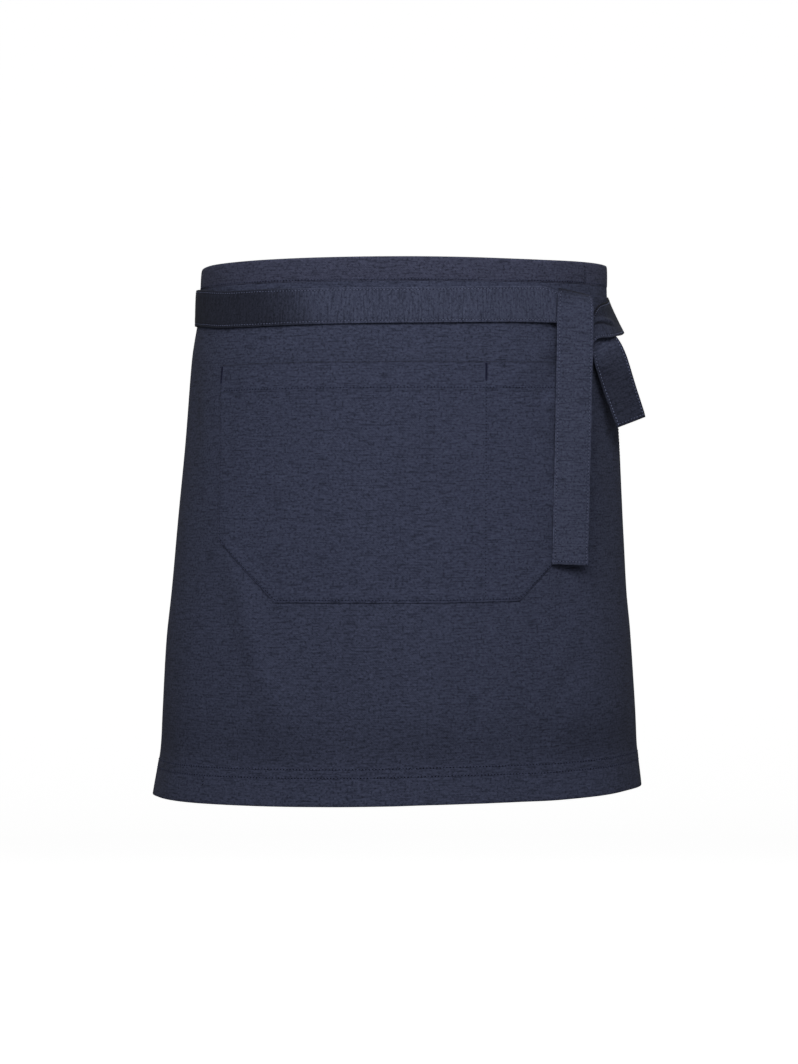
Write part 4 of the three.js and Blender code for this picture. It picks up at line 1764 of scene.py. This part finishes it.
@dataclass(frozen=True)
class Studio:
    """The plain pale floor, the soft light and the camera at the photograph's angle."""

    # Matches the photograph: a level lens in front of the apron, a little below its middle.
    camera_place: tuple[float, float, float] = (-0.00406, -2.315, -0.230)
    focal_pixels: float = 2641.0
    frame_height: float = 1064.0
    sensor: float = 36.0
    floor_drop: float = 1.0
    floor_flat: float = 4.5
    floor_curve: float = 1.5
    floor_wall: float = 4.0
    floor_middle: float = 0.02
    floor_sides: int = 64
    flat_rings: int = 10
    curve_rings: int = 12
    floor_colour: str = "#f4f4f4"
    floor_glow: float = 0.9
    sky_colour: str = "#ffffff"
    sky_strength: float = 0.16
    softboxes: tuple[Softbox, ...] = (
        Softbox("key_softbox", (0.05, -1.34, 0.98), (0.0, -0.1, -0.2), (1.7, 1.0), 29.5),
        Softbox("left_softbox", (-0.6, -1.8, 0.4), (0.0, -0.1, -0.2), (0.9, 1.4), 6.5),
        Softbox("right_softbox", (1.3, -0.7, 0.2), (0.1, 0.0, -0.2), (0.8, 1.4), 1.0),
        Softbox("back_softbox", (0.0, 1.9, 1.4), (0.0, 0.1, -0.2), (1.8, 1.2), 30.0),
    )

    def floor(self) -> bpy.types.Object:
        """A floor that curves up into a wall all round: a profile of flat, quarter circle and wall, spun.

        Returns:
            The floor's object.
        """
        turn = np.linspace(0.0, np.pi / 2.0, self.curve_rings)
        flat = np.linspace(self.floor_middle, self.floor_flat, self.flat_rings)
        curve = self.floor_flat + self.floor_curve * np.sin(turn)
        rise = self.floor_curve * (1.0 - np.cos(turn))
        reach = np.concatenate([flat, curve, curve[-1:]])[:, None]
        top = [self.floor_curve + self.floor_wall]
        height = np.concatenate([np.zeros(self.flat_rings), rise, top])[:, None]
        around = np.arange(self.floor_sides) * 2.0 * np.pi / self.floor_sides
        place = np.stack(np.broadcast_arrays(reach * np.cos(around), reach * np.sin(around),
                                             height - self.floor_drop), axis=-1)
        ids = np.arange(place.shape[0] * self.floor_sides).reshape(-1, self.floor_sides)
        after = np.roll(ids, -1, axis=1)
        quads = np.stack([ids[:-1], ids[1:], after[1:], after[:-1]], axis=-1).reshape(-1, 4)
        faces = [*quads.tolist(), ids[0].tolist()]
        mesh = bpy.data.meshes.new("studio_floor")
        mesh.from_pydata(place.reshape(-1, 3).tolist(), [], faces, shade_flat=False)
        floor = bpy.data.objects.new("studio_floor", mesh)
        bpy.context.scene.collection.objects.link(floor)
        return floor

    def paint(self) -> bpy.types.Material:
        """Matt white studio paint, lit evenly, so that the floor and the wall read as one pale ground.

        Returns:
            The material.
        """
        colour = linear_colour(self.floor_colour)
        values = {"Base Color": colour, "Roughness": 1.0, "Specular IOR Level": 0.0,
                  "Emission Color": colour, "Emission Strength": self.floor_glow}
        return new_material("matt_white_studio_paint", values)[0]

    def build(self) -> None:
        """Makes the floor, the sky, the lights and the camera."""
        scene = bpy.context.scene
        floor = self.floor()
        floor.data.materials.append(self.paint())
        floor.visible_diffuse = False
        floor.visible_glossy = False
        floor.visible_shadow = False
        world = bpy.data.worlds.new("studio_sky")
        world.use_nodes = True
        sky = world.node_tree.nodes["Background"]
        sky.inputs["Color"].default_value = linear_colour(self.sky_colour)
        sky.inputs["Strength"].default_value = self.sky_strength
        scene.world = world
        for softbox in self.softboxes:
            softbox.build()
        lens = bpy.data.cameras.new("photo_camera")
        lens.sensor_width = self.sensor
        lens.lens = self.sensor * self.focal_pixels / self.frame_height
        camera = bpy.data.objects.new("photo_camera", lens)
        camera.location = self.camera_place
        camera.rotation_euler = (np.pi / 2.0, 0.0, 0.0)
        scene.collection.objects.link(camera)
        scene.camera = camera
        scene.view_settings.view_transform = "Standard"


def main() -> None:
    """Builds the studio and every piece of the apron, and reports each piece."""
    logging.basicConfig(level=logging.INFO, format="%(name)s: %(message)s")
    Studio().build()
    form = WornForm()
    panel_cloth = Chambray("panel_chambray", "#272a3a", "#464b61", "#191c28").build()
    band_cloth = Chambray("band_chambray", "#282a3a", "#484b60", "#1b1d29").build()
    pocket_cloth = Chambray("pocket_chambray", "#272a3b", "#464b61", "#191c28").build()
    tie_cloth = Chambray("tie_chambray", "#292c3d", "#4a4f64", "#1c1f2c").cut_across(1.25).build()
    seam_thread = SewingThread("navy_seam_thread", "#2c3046", "#3c4159").build()
    tie_thread = SewingThread("navy_tie_thread", "#42475d", "#5b6078").build()
    tack_thread = SewingThread("dark_tack_thread", "#101124", "#1b1d36").build()
    panel = SkirtPanel(form, panel_cloth, seam_thread)
    assemblies = (
        panel,
        Waistband(form, band_cloth, seam_thread),
        Pocket(panel, pocket_cloth, seam_thread, tack_thread),
        RightTie(form, tie_cloth, tie_thread),
        LeftTie(form, tie_cloth, tie_thread),
    )
    for assembly in assemblies:
        for piece in assembly.build():
            LOG.info("%s: %d faces", piece.name, len(piece.data.polygons))


if __name__ == "__main__":
    main()
